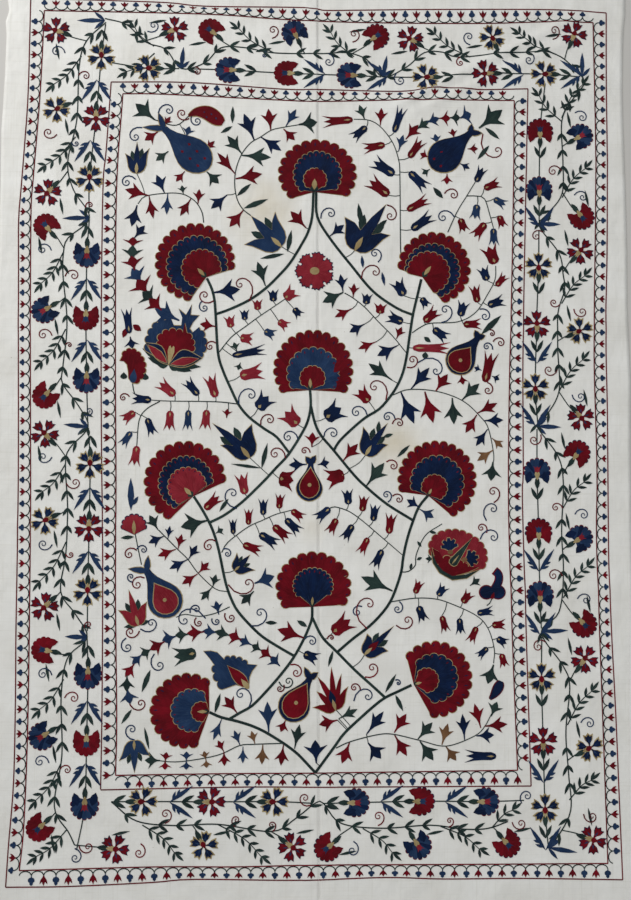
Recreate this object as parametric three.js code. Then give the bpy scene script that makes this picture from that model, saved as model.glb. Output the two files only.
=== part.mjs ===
// A suzani lying spread out: two loom widths of hand-woven cotton, sewn together down the
// middle, with the wrinkle and the fold ridges that stand up in them. The embroidery adds
// next to nothing to the cloth's thickness and isn't part of these solids.
import * as THREE from "three";

// Sizes are in millimetres. X runs across the cloth, Y along it, from its foot to its head,
// and Z up from the surface that it lies on. The origin is under the middle of the cloth.
const CLOTH_THICKNESS = 1.5;
const SEAM_GAP = 0.3;
const SEAM_HEAD = -9; // X of the seam at the cloth's head and at its foot
const SEAM_FOOT = 5.4;
const ALLOWANCE_RISE = 0.7; // where the cloth is turned under along the seam
const ALLOWANCE_EDGE = 6; // over which that rise fades out

// The two long edges, as uneven as they lie, and the width of cloth turned under on either
// side of the seam.
const OUTLINE = [
  { y: 1164, left: -796, right: 793, underLeft: 30, underRight: 0 },
  { y: 1094, left: -796, right: 792, underLeft: 30, underRight: 0 },
  { y: 1065, left: -791, right: 788, underLeft: 30, underRight: 0 },
  { y: 1036, left: -799, right: 786, underLeft: 30, underRight: 0 },
  { y: 1002, left: -796, right: 784, underLeft: 30, underRight: 0 },
  { y: 898, left: -797, right: 781, underLeft: 30, underRight: 0 },
  { y: 807, left: -800, right: 781, underLeft: 31, underRight: 0 },
  { y: 755, left: -802, right: 782, underLeft: 32, underRight: 0 },
  { y: 614, left: -800, right: 784, underLeft: 34, underRight: 0 },
  { y: 470, left: -800, right: 785, underLeft: 36, underRight: 18 },
  { y: 328, left: -799, right: 783, underLeft: 37, underRight: 36 },
  { y: 133, left: -797, right: 788, underLeft: 37, underRight: 38 },
  { y: -39, left: -795, right: 784, underLeft: 36, underRight: 40 },
  { y: -238, left: -791, right: 783, underLeft: 35, underRight: 42 },
  { y: -500, left: -787, right: 785, underLeft: 35, underRight: 42 },
  { y: -700, left: -787, right: 792, underLeft: 36, underRight: 42 },
  { y: -900, left: -788, right: 797, underLeft: 37, underRight: 41 },
  { y: -1095, left: -798, right: 802, underLeft: 37, underRight: 40 },
  { y: -1164, left: -798, right: 802, underLeft: 37, underRight: 40 },
];

// Narrow wrinkles: round ridges from one point to another.
const WRINKLES = [
  { fromX: 139, fromY: 811, toX: 705, toY: 1106, halfWidth: 21, height: 4.4 },
  { fromX: 203, fromY: 804, toX: 704, toY: 1050, halfWidth: 21, height: 4 },
  { fromX: -774, fromY: 1110, toX: -748, toY: 930, halfWidth: 22, height: 2.6 },
];
const WRINKLE_END = 110; // over which a wrinkle rises from the flat cloth

// Ridges that folding has pressed across the cloth, lower on one side than on the other.
const FOLDS = [
  { y: 265, fromX: 30, toX: 792, above: 62, below: 120, height: 3 },
  { y: 268, fromX: -804, toX: -540, above: 45, below: 60, height: 1.4 },
  { y: -391, fromX: 55, toX: 792, above: 66, below: 105, height: 3 },
  { y: -234, fromX: -796, toX: -290, above: 40, below: 55, height: 1.6 },
  { y: 700, fromX: 330, toX: 790, above: 45, below: 60, height: 1.4 },
];
const FOLD_END = 70; // over which a ridge dies away

// How each panel is divided: even columns across it, and rows that are closer where the
// cloth isn't flat.
const PANELS = [
  {
    name: "panel_left", outer: "left", under: "underLeft", side: -1, columns: 17,
    bands: [
      { to: -289, rows: 13 }, { to: -234, rows: 2 }, { to: -194, rows: 2 }, { to: 208, rows: 6 },
      { to: 268, rows: 2 }, { to: 313, rows: 2 }, { to: 755, rows: 7 }, { to: 900, rows: 2 },
      { to: 1164, rows: 6 },
    ],
  },
  {
    name: "panel_right", outer: "right", under: "underRight", side: 1, columns: 25,
    bands: [
      { to: -496, rows: 9 }, { to: -391, rows: 3 }, { to: -325, rows: 2 }, { to: 145, rows: 7 },
      { to: 265, rows: 3 }, { to: 327, rows: 2 }, { to: 640, rows: 5 }, { to: 700, rows: 2 },
      { to: 745, rows: 2 }, { to: 790, rows: 1 }, { to: 1164, rows: 19 },
    ],
  },
];

const clamp = THREE.MathUtils.clamp;
const fade = THREE.MathUtils.smoothstep;

// One column of the outline at any place along the cloth.
function outlineAt(y, column) {
  let i = 1;
  while (i < OUTLINE.length - 1 && OUTLINE[i].y > y) i += 1;
  const [upper, lower] = [OUTLINE[i - 1], OUTLINE[i]];
  const share = clamp((upper.y - y) / (upper.y - lower.y), 0, 1);
  return THREE.MathUtils.lerp(upper[column], lower[column], share);
}

function seamAt(y) {
  return THREE.MathUtils.mapLinear(y, OUTLINE[0].y, OUTLINE.at(-1).y, SEAM_HEAD, SEAM_FOOT);
}

// A round ridge along its line, zero at its ends and beyond its half width.
function wrinkleHeight(wrinkle, x, y) {
  const run = new THREE.Vector2(wrinkle.toX - wrinkle.fromX, wrinkle.toY - wrinkle.fromY);
  const length = run.length();
  run.normalize();
  const point = new THREE.Vector2(x - wrinkle.fromX, y - wrinkle.fromY);
  const along = point.dot(run);
  const off = Math.abs(point.cross(run));
  if (off >= wrinkle.halfWidth || along <= 0 || along >= length) return 0;
  const end = fade(Math.min(along, length - along), 0, WRINKLE_END);
  return wrinkle.height * end * 0.5 * (1 + Math.cos((Math.PI * off) / wrinkle.halfWidth));
}

// A pressed ridge: a crest with a flank of its own length on each side.
function foldHeight(fold, x, y) {
  const off = y - fold.y;
  const flank = Math.abs(off) / (off > 0 ? fold.above : fold.below);
  if (flank >= 1 || x <= fold.fromX || x >= fold.toX) return 0;
  return fold.height * fade(Math.min(x - fold.fromX, fold.toX - x), 0, FOLD_END) * (1 - flank) ** 1.5;
}

// How far the cloth's underside is from the surface below it.
function lift(x, y) {
  const wrinkles = WRINKLES.map((wrinkle) => wrinkleHeight(wrinkle, x, y));
  const folds = FOLDS.map((fold) => foldHeight(fold, x, y));
  return Math.max(0, ...wrinkles, ...folds);
}

function panelRows(bands) {
  const rows = [OUTLINE.at(-1).y];
  for (const band of bands) {
    const from = rows.at(-1);
    for (let i = 1; i <= band.rows; i += 1) rows.push(from + ((band.to - from) * i) / band.rows);
  }
  return rows;
}

// Columns across a panel: two follow the edge of the turned-under cloth, and the rest are even.
function panelColumns(panel, y) {
  const seam = seamAt(y) + (panel.side * SEAM_GAP) / 2;
  const outer = outlineAt(y, panel.outer);
  const under = Math.max(outlineAt(y, panel.under), 4);
  const marks = [
    { x: seam, rise: ALLOWANCE_RISE },
    { x: seam + panel.side * under, rise: ALLOWANCE_RISE },
    { x: seam + panel.side * (under + ALLOWANCE_EDGE), rise: 0 },
  ];
  if (outlineAt(y, panel.under) <= 0) marks.forEach((mark) => { mark.rise = 0; });
  const start = marks.at(-1).x;
  const even = panel.columns - 2;
  for (let i = 1; i <= even; i += 1) marks.push({ x: start + ((outer - start) * i) / even, rise: 0 });
  return panel.side > 0 ? marks : marks.reverse();
}

// The closed sheet of one panel: an upper and a lower face, joined round the edge.
function panelGeometry(panel) {
  const rows = panelRows(panel.bands);
  const positions = [];
  for (const y of rows) {
    for (const mark of panelColumns(panel, y)) {
      const low = lift(mark.x, y);
      positions.push(mark.x, y, low, mark.x, y, low + CLOTH_THICKNESS + mark.rise);
    }
  }
  const across = panel.columns;
  const up = rows.length - 1;
  const lower = (i, j) => 2 * (j * (across + 1) + i);
  const upper = (i, j) => lower(i, j) + 1;
  const index = [];
  const quad = (a, b, c, d) => index.push(a, b, c, a, c, d);
  for (let j = 0; j < up; j += 1) {
    for (let i = 0; i < across; i += 1) {
      quad(upper(i, j), upper(i + 1, j), upper(i + 1, j + 1), upper(i, j + 1));
      quad(lower(i, j + 1), lower(i + 1, j + 1), lower(i + 1, j), lower(i, j));
    }
    quad(lower(0, j), upper(0, j), upper(0, j + 1), lower(0, j + 1));
    quad(lower(across, j + 1), upper(across, j + 1), upper(across, j), lower(across, j));
  }
  for (let i = 0; i < across; i += 1) {
    quad(lower(i + 1, 0), upper(i + 1, 0), upper(i, 0), lower(i, 0));
    quad(lower(i, up), upper(i, up), upper(i + 1, up), lower(i + 1, up));
  }
  const geometry = new THREE.BufferGeometry();
  geometry.setAttribute("position", new THREE.Float32BufferAttribute(positions, 3));
  geometry.setIndex(index);
  geometry.computeVertexNormals();
  return geometry;
}

const suzani = new THREE.Group();
for (const panel of PANELS) {
  const cotton = new THREE.MeshStandardMaterial({ color: 0xd4d3c9, roughness: 0.95, metalness: 0 });
  const mesh = new THREE.Mesh(panelGeometry(panel), cotton);
  mesh.name = panel.name;
  suzani.add(mesh);
}

export default suzani;
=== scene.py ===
import logging
import math
from dataclasses import dataclass, field, replace
from enum import Enum
from typing import Callable, Iterable, Sequence

import bmesh
import bpy
from mathutils import Matrix, Quaternion, Vector


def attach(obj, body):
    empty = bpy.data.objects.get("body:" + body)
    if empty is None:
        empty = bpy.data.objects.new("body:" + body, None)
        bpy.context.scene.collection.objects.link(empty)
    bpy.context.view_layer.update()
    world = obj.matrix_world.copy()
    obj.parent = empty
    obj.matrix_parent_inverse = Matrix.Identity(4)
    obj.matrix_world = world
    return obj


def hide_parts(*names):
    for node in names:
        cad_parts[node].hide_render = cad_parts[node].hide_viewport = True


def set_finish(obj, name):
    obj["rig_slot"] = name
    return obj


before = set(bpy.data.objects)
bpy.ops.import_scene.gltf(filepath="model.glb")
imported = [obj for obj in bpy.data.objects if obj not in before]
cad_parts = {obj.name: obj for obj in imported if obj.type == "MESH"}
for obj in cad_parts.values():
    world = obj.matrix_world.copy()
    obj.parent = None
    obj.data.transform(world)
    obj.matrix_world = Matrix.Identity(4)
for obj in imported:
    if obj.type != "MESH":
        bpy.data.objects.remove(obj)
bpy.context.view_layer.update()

log = logging.getLogger("suzani")

MM = 0.001
Point = tuple[float, float]
Outline = list[Point]

# The cloth, as the frame has it.
CLOTH_THICKNESS = 1.5
SEAM_GAP = 0.3
SEAM_HEAD = -9.0
SEAM_FOOT = 5.4
CLOTH_HEAD = 1164.0
CLOTH_FOOT = -1164.0
ALLOWANCE_RISE = 0.7
ALLOWANCE_EDGE = 6.0

# The design's middle lies a little off the cloth's.
DESIGN_SHIFT = Vector((5.0, 5.0))

# Long edges of the cloth and the width turned under beside the seam:
# y, left x, right x, turned under on the left, turned under on the right.
OUTLINE = [
    (1164, -796, 793, 30, 0), (1094, -796, 792, 30, 0), (1065, -791, 788, 30, 0),
    (1036, -799, 786, 30, 0), (1002, -796, 784, 30, 0), (898, -797, 781, 30, 0),
    (807, -800, 781, 31, 0), (755, -802, 782, 32, 0), (614, -800, 784, 34, 0),
    (470, -800, 785, 36, 18), (328, -799, 783, 37, 36), (133, -797, 788, 37, 38),
    (-39, -795, 784, 36, 40), (-238, -791, 783, 35, 42), (-500, -787, 785, 35, 42),
    (-700, -787, 792, 36, 42), (-900, -788, 797, 37, 41), (-1095, -798, 802, 37, 40),
    (-1164, -798, 802, 37, 40),
]
LEFT, RIGHT, UNDER_LEFT, UNDER_RIGHT = 1, 2, 3, 4


@dataclass(frozen=True)
class Wrinkle:
    """A narrow round ridge from one point of the cloth to another."""

    start: Point
    end: Point
    half_width: float
    height: float

    def frame(self) -> tuple[Vector, Vector, float]:
        """Returns the start, the unit direction and the length of the ridge."""
        run = Vector(self.end) - Vector(self.start)
        return Vector(self.start), run.normalized(), run.length

    def lift(self, x: float, y: float) -> float:
        """The ridge's height at a point.

        Args:
            x: Place across the cloth.
            y: Place along the cloth.

        Returns:
            Millimetres above the flat cloth, zero beyond the ridge.
        """
        start, run, length = self.frame()
        point = Vector((x, y)) - start
        along = point.dot(run)
        off = abs(point.x * run.y - point.y * run.x)
        if off >= self.half_width or not 0 < along < length:
            return 0.0
        end = fade(min(along, length - along) / WRINKLE_END)
        return self.height * end * 0.5 * (1 + math.cos(math.pi * off / self.half_width))


@dataclass(frozen=True)
class Fold:
    """A ridge that folding has pressed across the cloth, with two uneven flanks."""

    y: float
    from_x: float
    to_x: float
    above: float
    below: float
    height: float

    def lift(self, x: float, y: float) -> float:
        """The ridge's height at a point.

        Args:
            x: Place across the cloth.
            y: Place along the cloth.

        Returns:
            Millimetres above the flat cloth, zero beyond the flanks.
        """
        off = y - self.y
        flank = abs(off) / (self.above if off > 0 else self.below)
        if flank >= 1 or not self.from_x < x < self.to_x:
            return 0.0
        end = fade(min(x - self.from_x, self.to_x - x) / FOLD_END)
        return self.height * end * (1 - flank) ** 1.5


WRINKLE_END = 110.0
FOLD_END = 70.0
WRINKLES = [
    Wrinkle((139, 811), (705, 1106), 21, 4.4),
    Wrinkle((203, 804), (704, 1050), 21, 4.0),
    Wrinkle((-774, 1110), (-748, 930), 22, 2.6),
]
FOLDS = [
    Fold(265, 30, 792, 62, 120, 3.0), Fold(268, -804, -540, 45, 60, 1.4),
    Fold(-391, 55, 792, 66, 105, 3.0), Fold(-234, -796, -290, 40, 55, 1.6),
    Fold(700, 330, 790, 45, 60, 1.4),
]


def fade(share: float) -> float:
    """A soft step from 0 to 1 as share goes from 0 to 1."""
    share = min(max(share, 0.0), 1.0)
    return share * share * (3 - 2 * share)


def outline_at(y: float, column: int) -> float:
    """One column of the outline table at any place along the cloth.

    Args:
        y: Place along the cloth.
        column: Column of OUTLINE.

    Returns:
        The value between the two nearest rows.
    """
    for upper, lower in zip(OUTLINE, OUTLINE[1:]):
        if y >= lower[0]:
            break
    share = min(max((upper[0] - y) / (upper[0] - lower[0]), 0.0), 1.0)
    return upper[column] + (lower[column] - upper[column]) * share


def seam_at(y: float) -> float:
    """X of the seam at any place along the cloth."""
    return SEAM_HEAD + (SEAM_FOOT - SEAM_HEAD) * (CLOTH_HEAD - y) / (CLOTH_HEAD - CLOTH_FOOT)


def lift(x: float, y: float) -> float:
    """How far the cloth's underside is from the floor."""
    return max(0.0, *(ridge.lift(x, y) for ridge in (*WRINKLES, *FOLDS)))


def allowance(x: float, y: float) -> float:
    """Extra height where cloth is turned under beside the seam.

    Args:
        x: Place across the cloth.
        y: Place along the cloth.

    Returns:
        Millimetres above a single layer.
    """
    off = x - seam_at(y)
    under = outline_at(y, UNDER_LEFT if off < 0 else UNDER_RIGHT)
    if under <= 0:
        return 0.0
    return ALLOWANCE_RISE * min(max((under + ALLOWANCE_EDGE - abs(off)) / ALLOWANCE_EDGE, 0.0), 1.0)


def cloth_top(x: float, y: float) -> float:
    """Height of the embroidered face above the floor."""
    return lift(x, y) + CLOTH_THICKNESS + allowance(x, y)


class Thread(Enum):
    """The threads of the design, each with its slot in the record."""

    CRIMSON = "thread_crimson"
    ROSE = "thread_rose"
    NAVY = "thread_navy"
    SLATE = "thread_slate"
    GREEN = "thread_green"
    STRAW = "thread_straw"
    OCHRE = "thread_ochre"
    COTTON = "cotton_ground"


C, R, N, S = Thread.CRIMSON, Thread.ROSE, Thread.NAVY, Thread.SLATE
G, W, O = Thread.GREEN, Thread.STRAW, Thread.OCHRE

THREAD_HEIGHT = 0.9
LAYER_HEIGHT = 0.15
UNEVEN_HEIGHT = 0.05
THREAD_SUNK = 0.5
RIM_BEVEL = 0.3


def smooth_line(points: Sequence[Point], step: float = 9.0) -> list[Vector]:
    """A smooth line through a few points.

    Args:
        points: The places that the line passes through.
        step: Distance between the points of the result, about.

    Returns:
        Points along the curve, from the first place to the last.
    """
    knots = [Vector(point) for point in points]
    knots = [2 * knots[0] - knots[1], *knots, 2 * knots[-1] - knots[-2]]
    line = []
    for before, start, end, after in zip(knots, knots[1:], knots[2:], knots[3:]):
        count = max(1, round((end - start).length / step))
        for i in range(count):
            t = i / count
            line.append(0.5 * (2 * start + (end - before) * t
                               + (2 * before - 5 * start + 4 * end - after) * t ** 2
                               + (3 * start - before - 3 * end + after) * t ** 3))
    line.append(knots[-2])
    return line


def ring(centre: Point, rx: float, ry: float, count: int) -> Outline:
    """An ellipse of count points about a centre."""
    turns = [2 * math.pi * i / count for i in range(count)]
    return [(centre[0] + rx * math.cos(a), centre[1] + ry * math.sin(a)) for a in turns]


def mirrored(base: Point, tip: Point, width: float, side: Sequence[Point]) -> Outline:
    """An outline that is the same on both sides of the line from base to tip.

    Args:
        base: Where the shape starts.
        tip: Where it ends.
        width: Its full width.
        side: Places on one side, as shares of the length and of half the width.

    Returns:
        The closed outline.
    """
    start, run = Vector(base), Vector(tip) - Vector(base)
    across = Vector((-run.y, run.x)).normalized() * (width / 2)
    near = [start + run * along + across * off for along, off in side]
    far = [start + run * along - across * off for along, off in reversed(side) if off > 0]
    return [tuple(point) for point in (*near, *far)]


@dataclass
class Canvas:
    """The work in one thread over one area: flat patches that are raised together.

    Each point keeps its place along and across the stitches and the motif's own tint.
    """

    name: str
    thread: Thread
    bm: bmesh.types.BMesh = field(default_factory=bmesh.new)
    patches: int = 0

    def __post_init__(self) -> None:
        """Adds the layers that the threads' finish and height are read from."""
        self.stitch = self.bm.verts.layers.float_vector.new("stitch")
        self.rise = self.bm.verts.layers.float.new("rise")

    def tint(self) -> float:
        """A tint from 0 to 1 for the next motif, the same on each run."""
        self.patches += 1
        return (self.patches * 0.618034) % 1.0

    def height(self, layer: int, tint: float) -> float:
        """Height of a motif above the cloth, a little different from its neighbours'."""
        return THREAD_HEIGHT + layer * LAYER_HEIGHT + tint * UNEVEN_HEIGHT

    def patch(self, outline: Outline, grain: float, layer: int = 0) -> None:
        """Fills an outline with stitches.

        Args:
            outline: Points round the patch.
            grain: Angle of the stitches in radians.
            layer: How many layers of thread lie below.
        """
        along, across = (math.cos(grain), math.sin(grain)), (-math.sin(grain), math.cos(grain))
        tint = self.tint()
        corners = []
        for x, y in outline:
            corner = self.bm.verts.new((x, y, 0))
            corner[self.stitch] = (x * along[0] + y * along[1], x * across[0] + y * across[1], tint)
            corner[self.rise] = self.height(layer, tint)
            corners.append(corner)
        self.bm.faces.new(corners)

    def ribbon(self, line: Sequence[Vector], widths: Callable[[float], float], layer: int = 0) -> None:
        """Lays a row of stitches along a line.

        Args:
            line: Points along it.
            widths: Gives its width at a share of the way.
            layer: How many layers of thread lie below.
        """
        tint = self.tint()
        gone = 0.0
        rung = None
        for i, here in enumerate(line):
            ahead, behind = line[min(i + 1, len(line) - 1)], line[max(i - 1, 0)]
            gone += (here - behind).length if i else 0.0
            run = (ahead - behind).normalized()
            half = widths(i / (len(line) - 1)) / 2
            across = Vector((-run.y, run.x)) * half
            pair = []
            for side in (1, -1):
                corner = self.bm.verts.new((*(here + across * side), 0))
                corner[self.stitch] = (gone, side * half, tint)
                corner[self.rise] = self.height(layer, tint)
                pair.append(corner)
            if rung:
                self.bm.faces.new((rung[0], rung[1], pair[1], pair[0]))
            rung = pair

    def cut(self, place: Vector, normal: Vector, near: Callable[[Vector], bool]) -> None:
        """Divides the patches along one line, so that they can bend there.

        Args:
            place: A point on the line.
            normal: Direction across it.
            near: Tells whether a point is in the stretch to cut.
        """
        faces = [face for face in self.bm.faces if any(near(v.co) for v in face.verts)]
        edges = {edge for face in faces for edge in face.edges}
        points = {point for face in faces for point in face.verts}
        bmesh.ops.bisect_plane(self.bm, geom=[*points, *edges, *faces], dist=0.001,
                               plane_co=(*place, 0), plane_no=(*normal, 0))

    def cut_at_ridges(self) -> None:
        """Divides the patches where the cloth rises."""
        margin = 60.0
        for fold in FOLDS:
            def close(co: Vector, fold: Fold = fold) -> bool:
                """Tells whether a point is on the fold."""
                return (fold.from_x < co.x < fold.to_x
                        and -fold.below - margin < co.y - fold.y < fold.above + margin)
            for share in (-1, -0.66, -0.33, 0, 0.33, 0.66, 1):
                reach = fold.above if share > 0 else fold.below
                self.cut(Vector((0, fold.y + share * reach)), Vector((0, 1)), close)
        for wrinkle in WRINKLES:
            start, run, length = wrinkle.frame()
            across = Vector((-run.y, run.x))

            def on_wrinkle(co: Vector, start: Vector = start, run: Vector = run,
                           length: float = length, across: Vector = across) -> bool:
                """Tells whether a point is on the wrinkle."""
                point = co.xy - start
                return -margin < point.dot(run) < length + margin and abs(point.dot(across)) < margin
            for share in (-1, -0.7, -0.4, -0.13, 0.13, 0.4, 0.7, 1):
                self.cut(start + across * share * wrinkle.half_width, across, on_wrinkle)
            for i in range(1, math.ceil(length / margin)):
                self.cut(start + run * margin * i, run, on_wrinkle)
        for side, column in ((-1, UNDER_LEFT), (1, UNDER_RIGHT)):
            for extra in (0.0, ALLOWANCE_EDGE):
                head = Vector((seam_at(470) + side * (outline_at(470, column) + extra), 470))
                foot = Vector((seam_at(-1095) + side * (outline_at(-1095, column) + extra), -1095))
                run = (head - foot).normalized()
                self.cut(head, Vector((-run.y, run.x)), lambda co: abs(co.x) < 2 * margin)

    def raise_work(self) -> bpy.types.Object:
        """Raises the flat patches into closed threadwork and lays it on the cloth.

        Returns:
            The piece, riding with the cloth.
        """
        for corner in self.bm.verts:
            corner.co.xy += DESIGN_SHIFT
        raised = bmesh.ops.extrude_face_region(self.bm, geom=self.bm.faces[:])["geom"]
        tops = {item for item in raised if isinstance(item, bmesh.types.BMVert)}
        for corner in self.bm.verts:
            corner.co.z = corner[self.rise] if corner in tops else -THREAD_SUNK
        bmesh.ops.recalc_face_normals(self.bm, faces=self.bm.faces[:])
        rim = [edge for edge in self.bm.edges if all(v in tops for v in edge.verts)
               and any(abs(face.normal.z) < 0.5 for face in edge.link_faces)]
        bmesh.ops.bevel(self.bm, geom=rim, offset=RIM_BEVEL, offset_type="OFFSET", affect="EDGES",
                        segments=1, profile=0.5, material=-1, clamp_overlap=True)
        self.cut_at_ridges()
        for corner in self.bm.verts:
            corner.co.z += cloth_top(corner.co.x, corner.co.y)
        bmesh.ops.scale(self.bm, vec=(MM, MM, MM), verts=self.bm.verts[:])
        return finish_piece(self.name, self.bm, self.thread)


def finish_piece(name: str, bm: bmesh.types.BMesh, thread: Thread) -> bpy.types.Object:
    """Turns a finished bmesh into a piece of the cloth.

    Args:
        name: The piece's name.
        bm: Its shape, in metres.
        thread: What it is made of.

    Returns:
        The linked object, riding on the root body.
    """
    mesh = bpy.data.meshes.new(name)
    bm.to_mesh(mesh)
    bm.free()
    piece = bpy.data.objects.new(name, mesh)
    bpy.context.scene.collection.objects.link(piece)
    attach(piece, "root")
    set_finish(piece, thread.value)
    mesh.calc_loop_triangles()
    log.info("%s: %d triangles", name, len(mesh.loop_triangles))
    return piece


@dataclass
class Work:
    """One area of the embroidery, with a canvas for each thread."""

    area: str
    canvases: dict[Thread, Canvas] = field(default_factory=dict)

    def __getitem__(self, thread: Thread) -> Canvas:
        """The area's canvas in one thread."""
        if thread not in self.canvases:
            name = f"{thread.value.replace('thread', 'embroidery')}_{self.area}"
            self.canvases[thread] = Canvas(name, thread)
        return self.canvases[thread]

    def raise_all(self) -> list[bpy.types.Object]:
        """Raises every canvas of the area into its piece."""
        return [canvas.raise_work() for canvas in self.canvases.values()]


def heading(start: Point, end: Point) -> float:
    """Angle of the line from start to end, in radians."""
    return math.atan2(end[1] - start[1], end[0] - start[0])


def polar(centre: Point, angle: float, radius: float) -> Point:
    """The point at an angle and a distance from a centre."""
    return centre[0] + radius * math.cos(angle), centre[1] + radius * math.sin(angle)


def between(start: Point, end: Point, share: float) -> Point:
    """The point a share of the way from start to end."""
    return start[0] + (end[0] - start[0]) * share, start[1] + (end[1] - start[1]) * share


BUD_SIDE = [(0, 0.07), (0.22, 0.13), (0.38, 0.3), (0.52, 0.6), (0.75, 1.12), (0.66, 0.46), (0.82, 0.3),
            (1.0, 0)]
CROWN_SIDE = [(0, 0.12), (0.18, 0.3), (0.34, 0.66), (0.5, 0.92), (0.84, 1.1), (0.62, 0.46), (1.0, 0)]
CLUB_SIDE = [(0, 0.12), (0.18, 0.16), (0.26, 0.74), (0.42, 1.0), (0.6, 0.9), (0.68, 0.5), (0.84, 0.5),
             (1.0, 0)]
DROP_SIDE = [(0, 0), (0.02, 0.3), (0.07, 0.58), (0.15, 0.82), (0.25, 0.96), (0.34, 1.0), (0.44, 0.95),
             (0.56, 0.78), (0.68, 0.55), (0.8, 0.34), (0.92, 0.22), (1.0, 0.2)]
DROP_HEART = [(0, 0), (0.04, 0.42), (0.12, 0.74), (0.26, 0.97), (0.4, 1.0), (0.56, 0.86), (0.74, 0.52),
              (0.9, 0.18), (1.0, 0)]
BELL_SIDE = [(0, 0), (0.03, 0.42), (0.16, 0.72), (0.42, 0.7), (0.7, 0.82), (1.0, 1.14), (0.72, 0.42),
             (0.96, 0)]
LEAF_SIDE = [(0, 0), (0.2, 0.62), (0.45, 1.0), (0.72, 0.74), (1.0, 0)]
PETAL_SIDE = [(0, 0.3), (0.16, 0.74), (0.38, 1.0), (0.6, 0.78), (0.8, 0.34), (1.0, 0)]
CLOVE_SIDE = [(0.1, 0.08), (0.34, 0.3), (0.52, 0.8), (0.7, 0.94), (0.9, 1.06), (0.82, 0.46), (1.0, 0)]
HEART_SIDE = [(0, 0.14), (0.35, 0.62), (0.7, 1.0), (0.95, 0.78), (1.0, 0.4), (0.86, 0)]
SMALL_LEAF_SIDE = [(0, 0), (0.4, 1.0), (1.0, 0)]


@dataclass
class Bud:
    """A bud with three sharp prongs, narrow where it leaves its stem."""

    thread: Thread
    base: Point
    tip: Point
    spread: float

    def sew(self, work: Work, layer: int = 1) -> None:
        """Fills the bud with stitches along it."""
        outline = mirrored(self.base, self.tip, self.spread, BUD_SIDE)
        work[self.thread].patch(outline, heading(self.base, self.tip), layer)


@dataclass
class Bell:
    """A tulip with a round base, an open crown and a straw calyx."""

    thread: Thread
    base: Point
    tip: Point
    width: float

    def sew(self, work: Work) -> None:
        """Fills the flower, its calyx and its heart.

        Args:
            work: The area that is sewn.
        """
        grain = heading(self.base, self.tip)
        work[self.thread].patch(mirrored(self.base, self.tip, self.width, BELL_SIDE), grain, 1)
        calyx = mirrored(between(self.base, self.tip, 0.06), between(self.base, self.tip, 0.32),
                         self.width * 0.2, SMALL_LEAF_SIDE)
        work[W].patch(calyx, grain, 2)


@dataclass
class Leaf:
    """A plain pointed leaf."""

    thread: Thread
    base: Point
    tip: Point
    width: float

    def sew(self, work: Work, layer: int = 1) -> None:
        """Fills the leaf with stitches along it."""
        outline = mirrored(self.base, self.tip, self.width, LEAF_SIDE)
        work[self.thread].patch(outline, heading(self.base, self.tip), layer)


@dataclass
class Curl:
    """A tendril that winds in from its root to a centre."""

    thread: Thread
    root: Point
    centre: Point
    hand: int
    width: float = 3.4
    turns: float = 1.6

    def sew(self, work: Work, layer: int = 1) -> None:
        """Lays the tendril as one tapering row.

        Args:
            work: The area that is sewn.
            layer: How many layers of thread lie below.
        """
        start, reach = heading(self.centre, self.root), math.dist(self.root, self.centre)
        count, eye = 22, min(reach * 0.62, CURL_REACH)
        line = []
        for i in range(count + 1):
            rest = 1 - i / count
            line.append(Vector(polar(self.centre, start + self.hand * math.tau * self.turns * (1 - rest),
                                     (reach - 0.85 * eye) * rest ** 6 + eye * (0.7 * rest + 0.15))))
        work[self.thread].ribbon(line, lambda share: self.width * (1 - 0.45 * share), layer)


def scallops(base: Point, centre: Point, rx: float, ry: float, first: float, last: float,
             count: int, depth: float = 0.14) -> Outline:
    """A fan: a base point and an arc of round scallops.

    Args:
        base: Where the fan leaves its stem.
        centre: Centre of the arc.
        rx: Reach across the cloth.
        ry: Reach along the cloth.
        first: Angle of the first scallop's start, in degrees.
        last: Angle of the last scallop's end, in degrees.
        count: Number of scallops.
        depth: How deep the notches are, as a share of the reach.

    Returns:
        The closed outline.
    """
    outline = [base]
    for i in range(count):
        for share, reach in ((0.0, 1 - depth), (0.1, 1 - depth * 0.46), (0.27, 1 - depth * 0.1),
                             (0.5, 1.0), (0.73, 1 - depth * 0.1), (0.9, 1 - depth * 0.46)):
            angle = math.radians(first + (last - first) * (i + share) / count)
            outline.append((centre[0] + rx * reach * math.cos(angle),
                            centre[1] + ry * reach * math.sin(angle)))
    end = math.radians(last)
    outline.append((centre[0] + rx * (1 - depth) * math.cos(end),
                    centre[1] + ry * (1 - depth) * math.sin(end)))
    return outline


@dataclass
class FanRing:
    """One coloured ring of a fan."""

    thread: Thread
    centre: Point
    reach: tuple[float, float]
    arc: tuple[float, float]
    scallop_count: int


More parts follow.
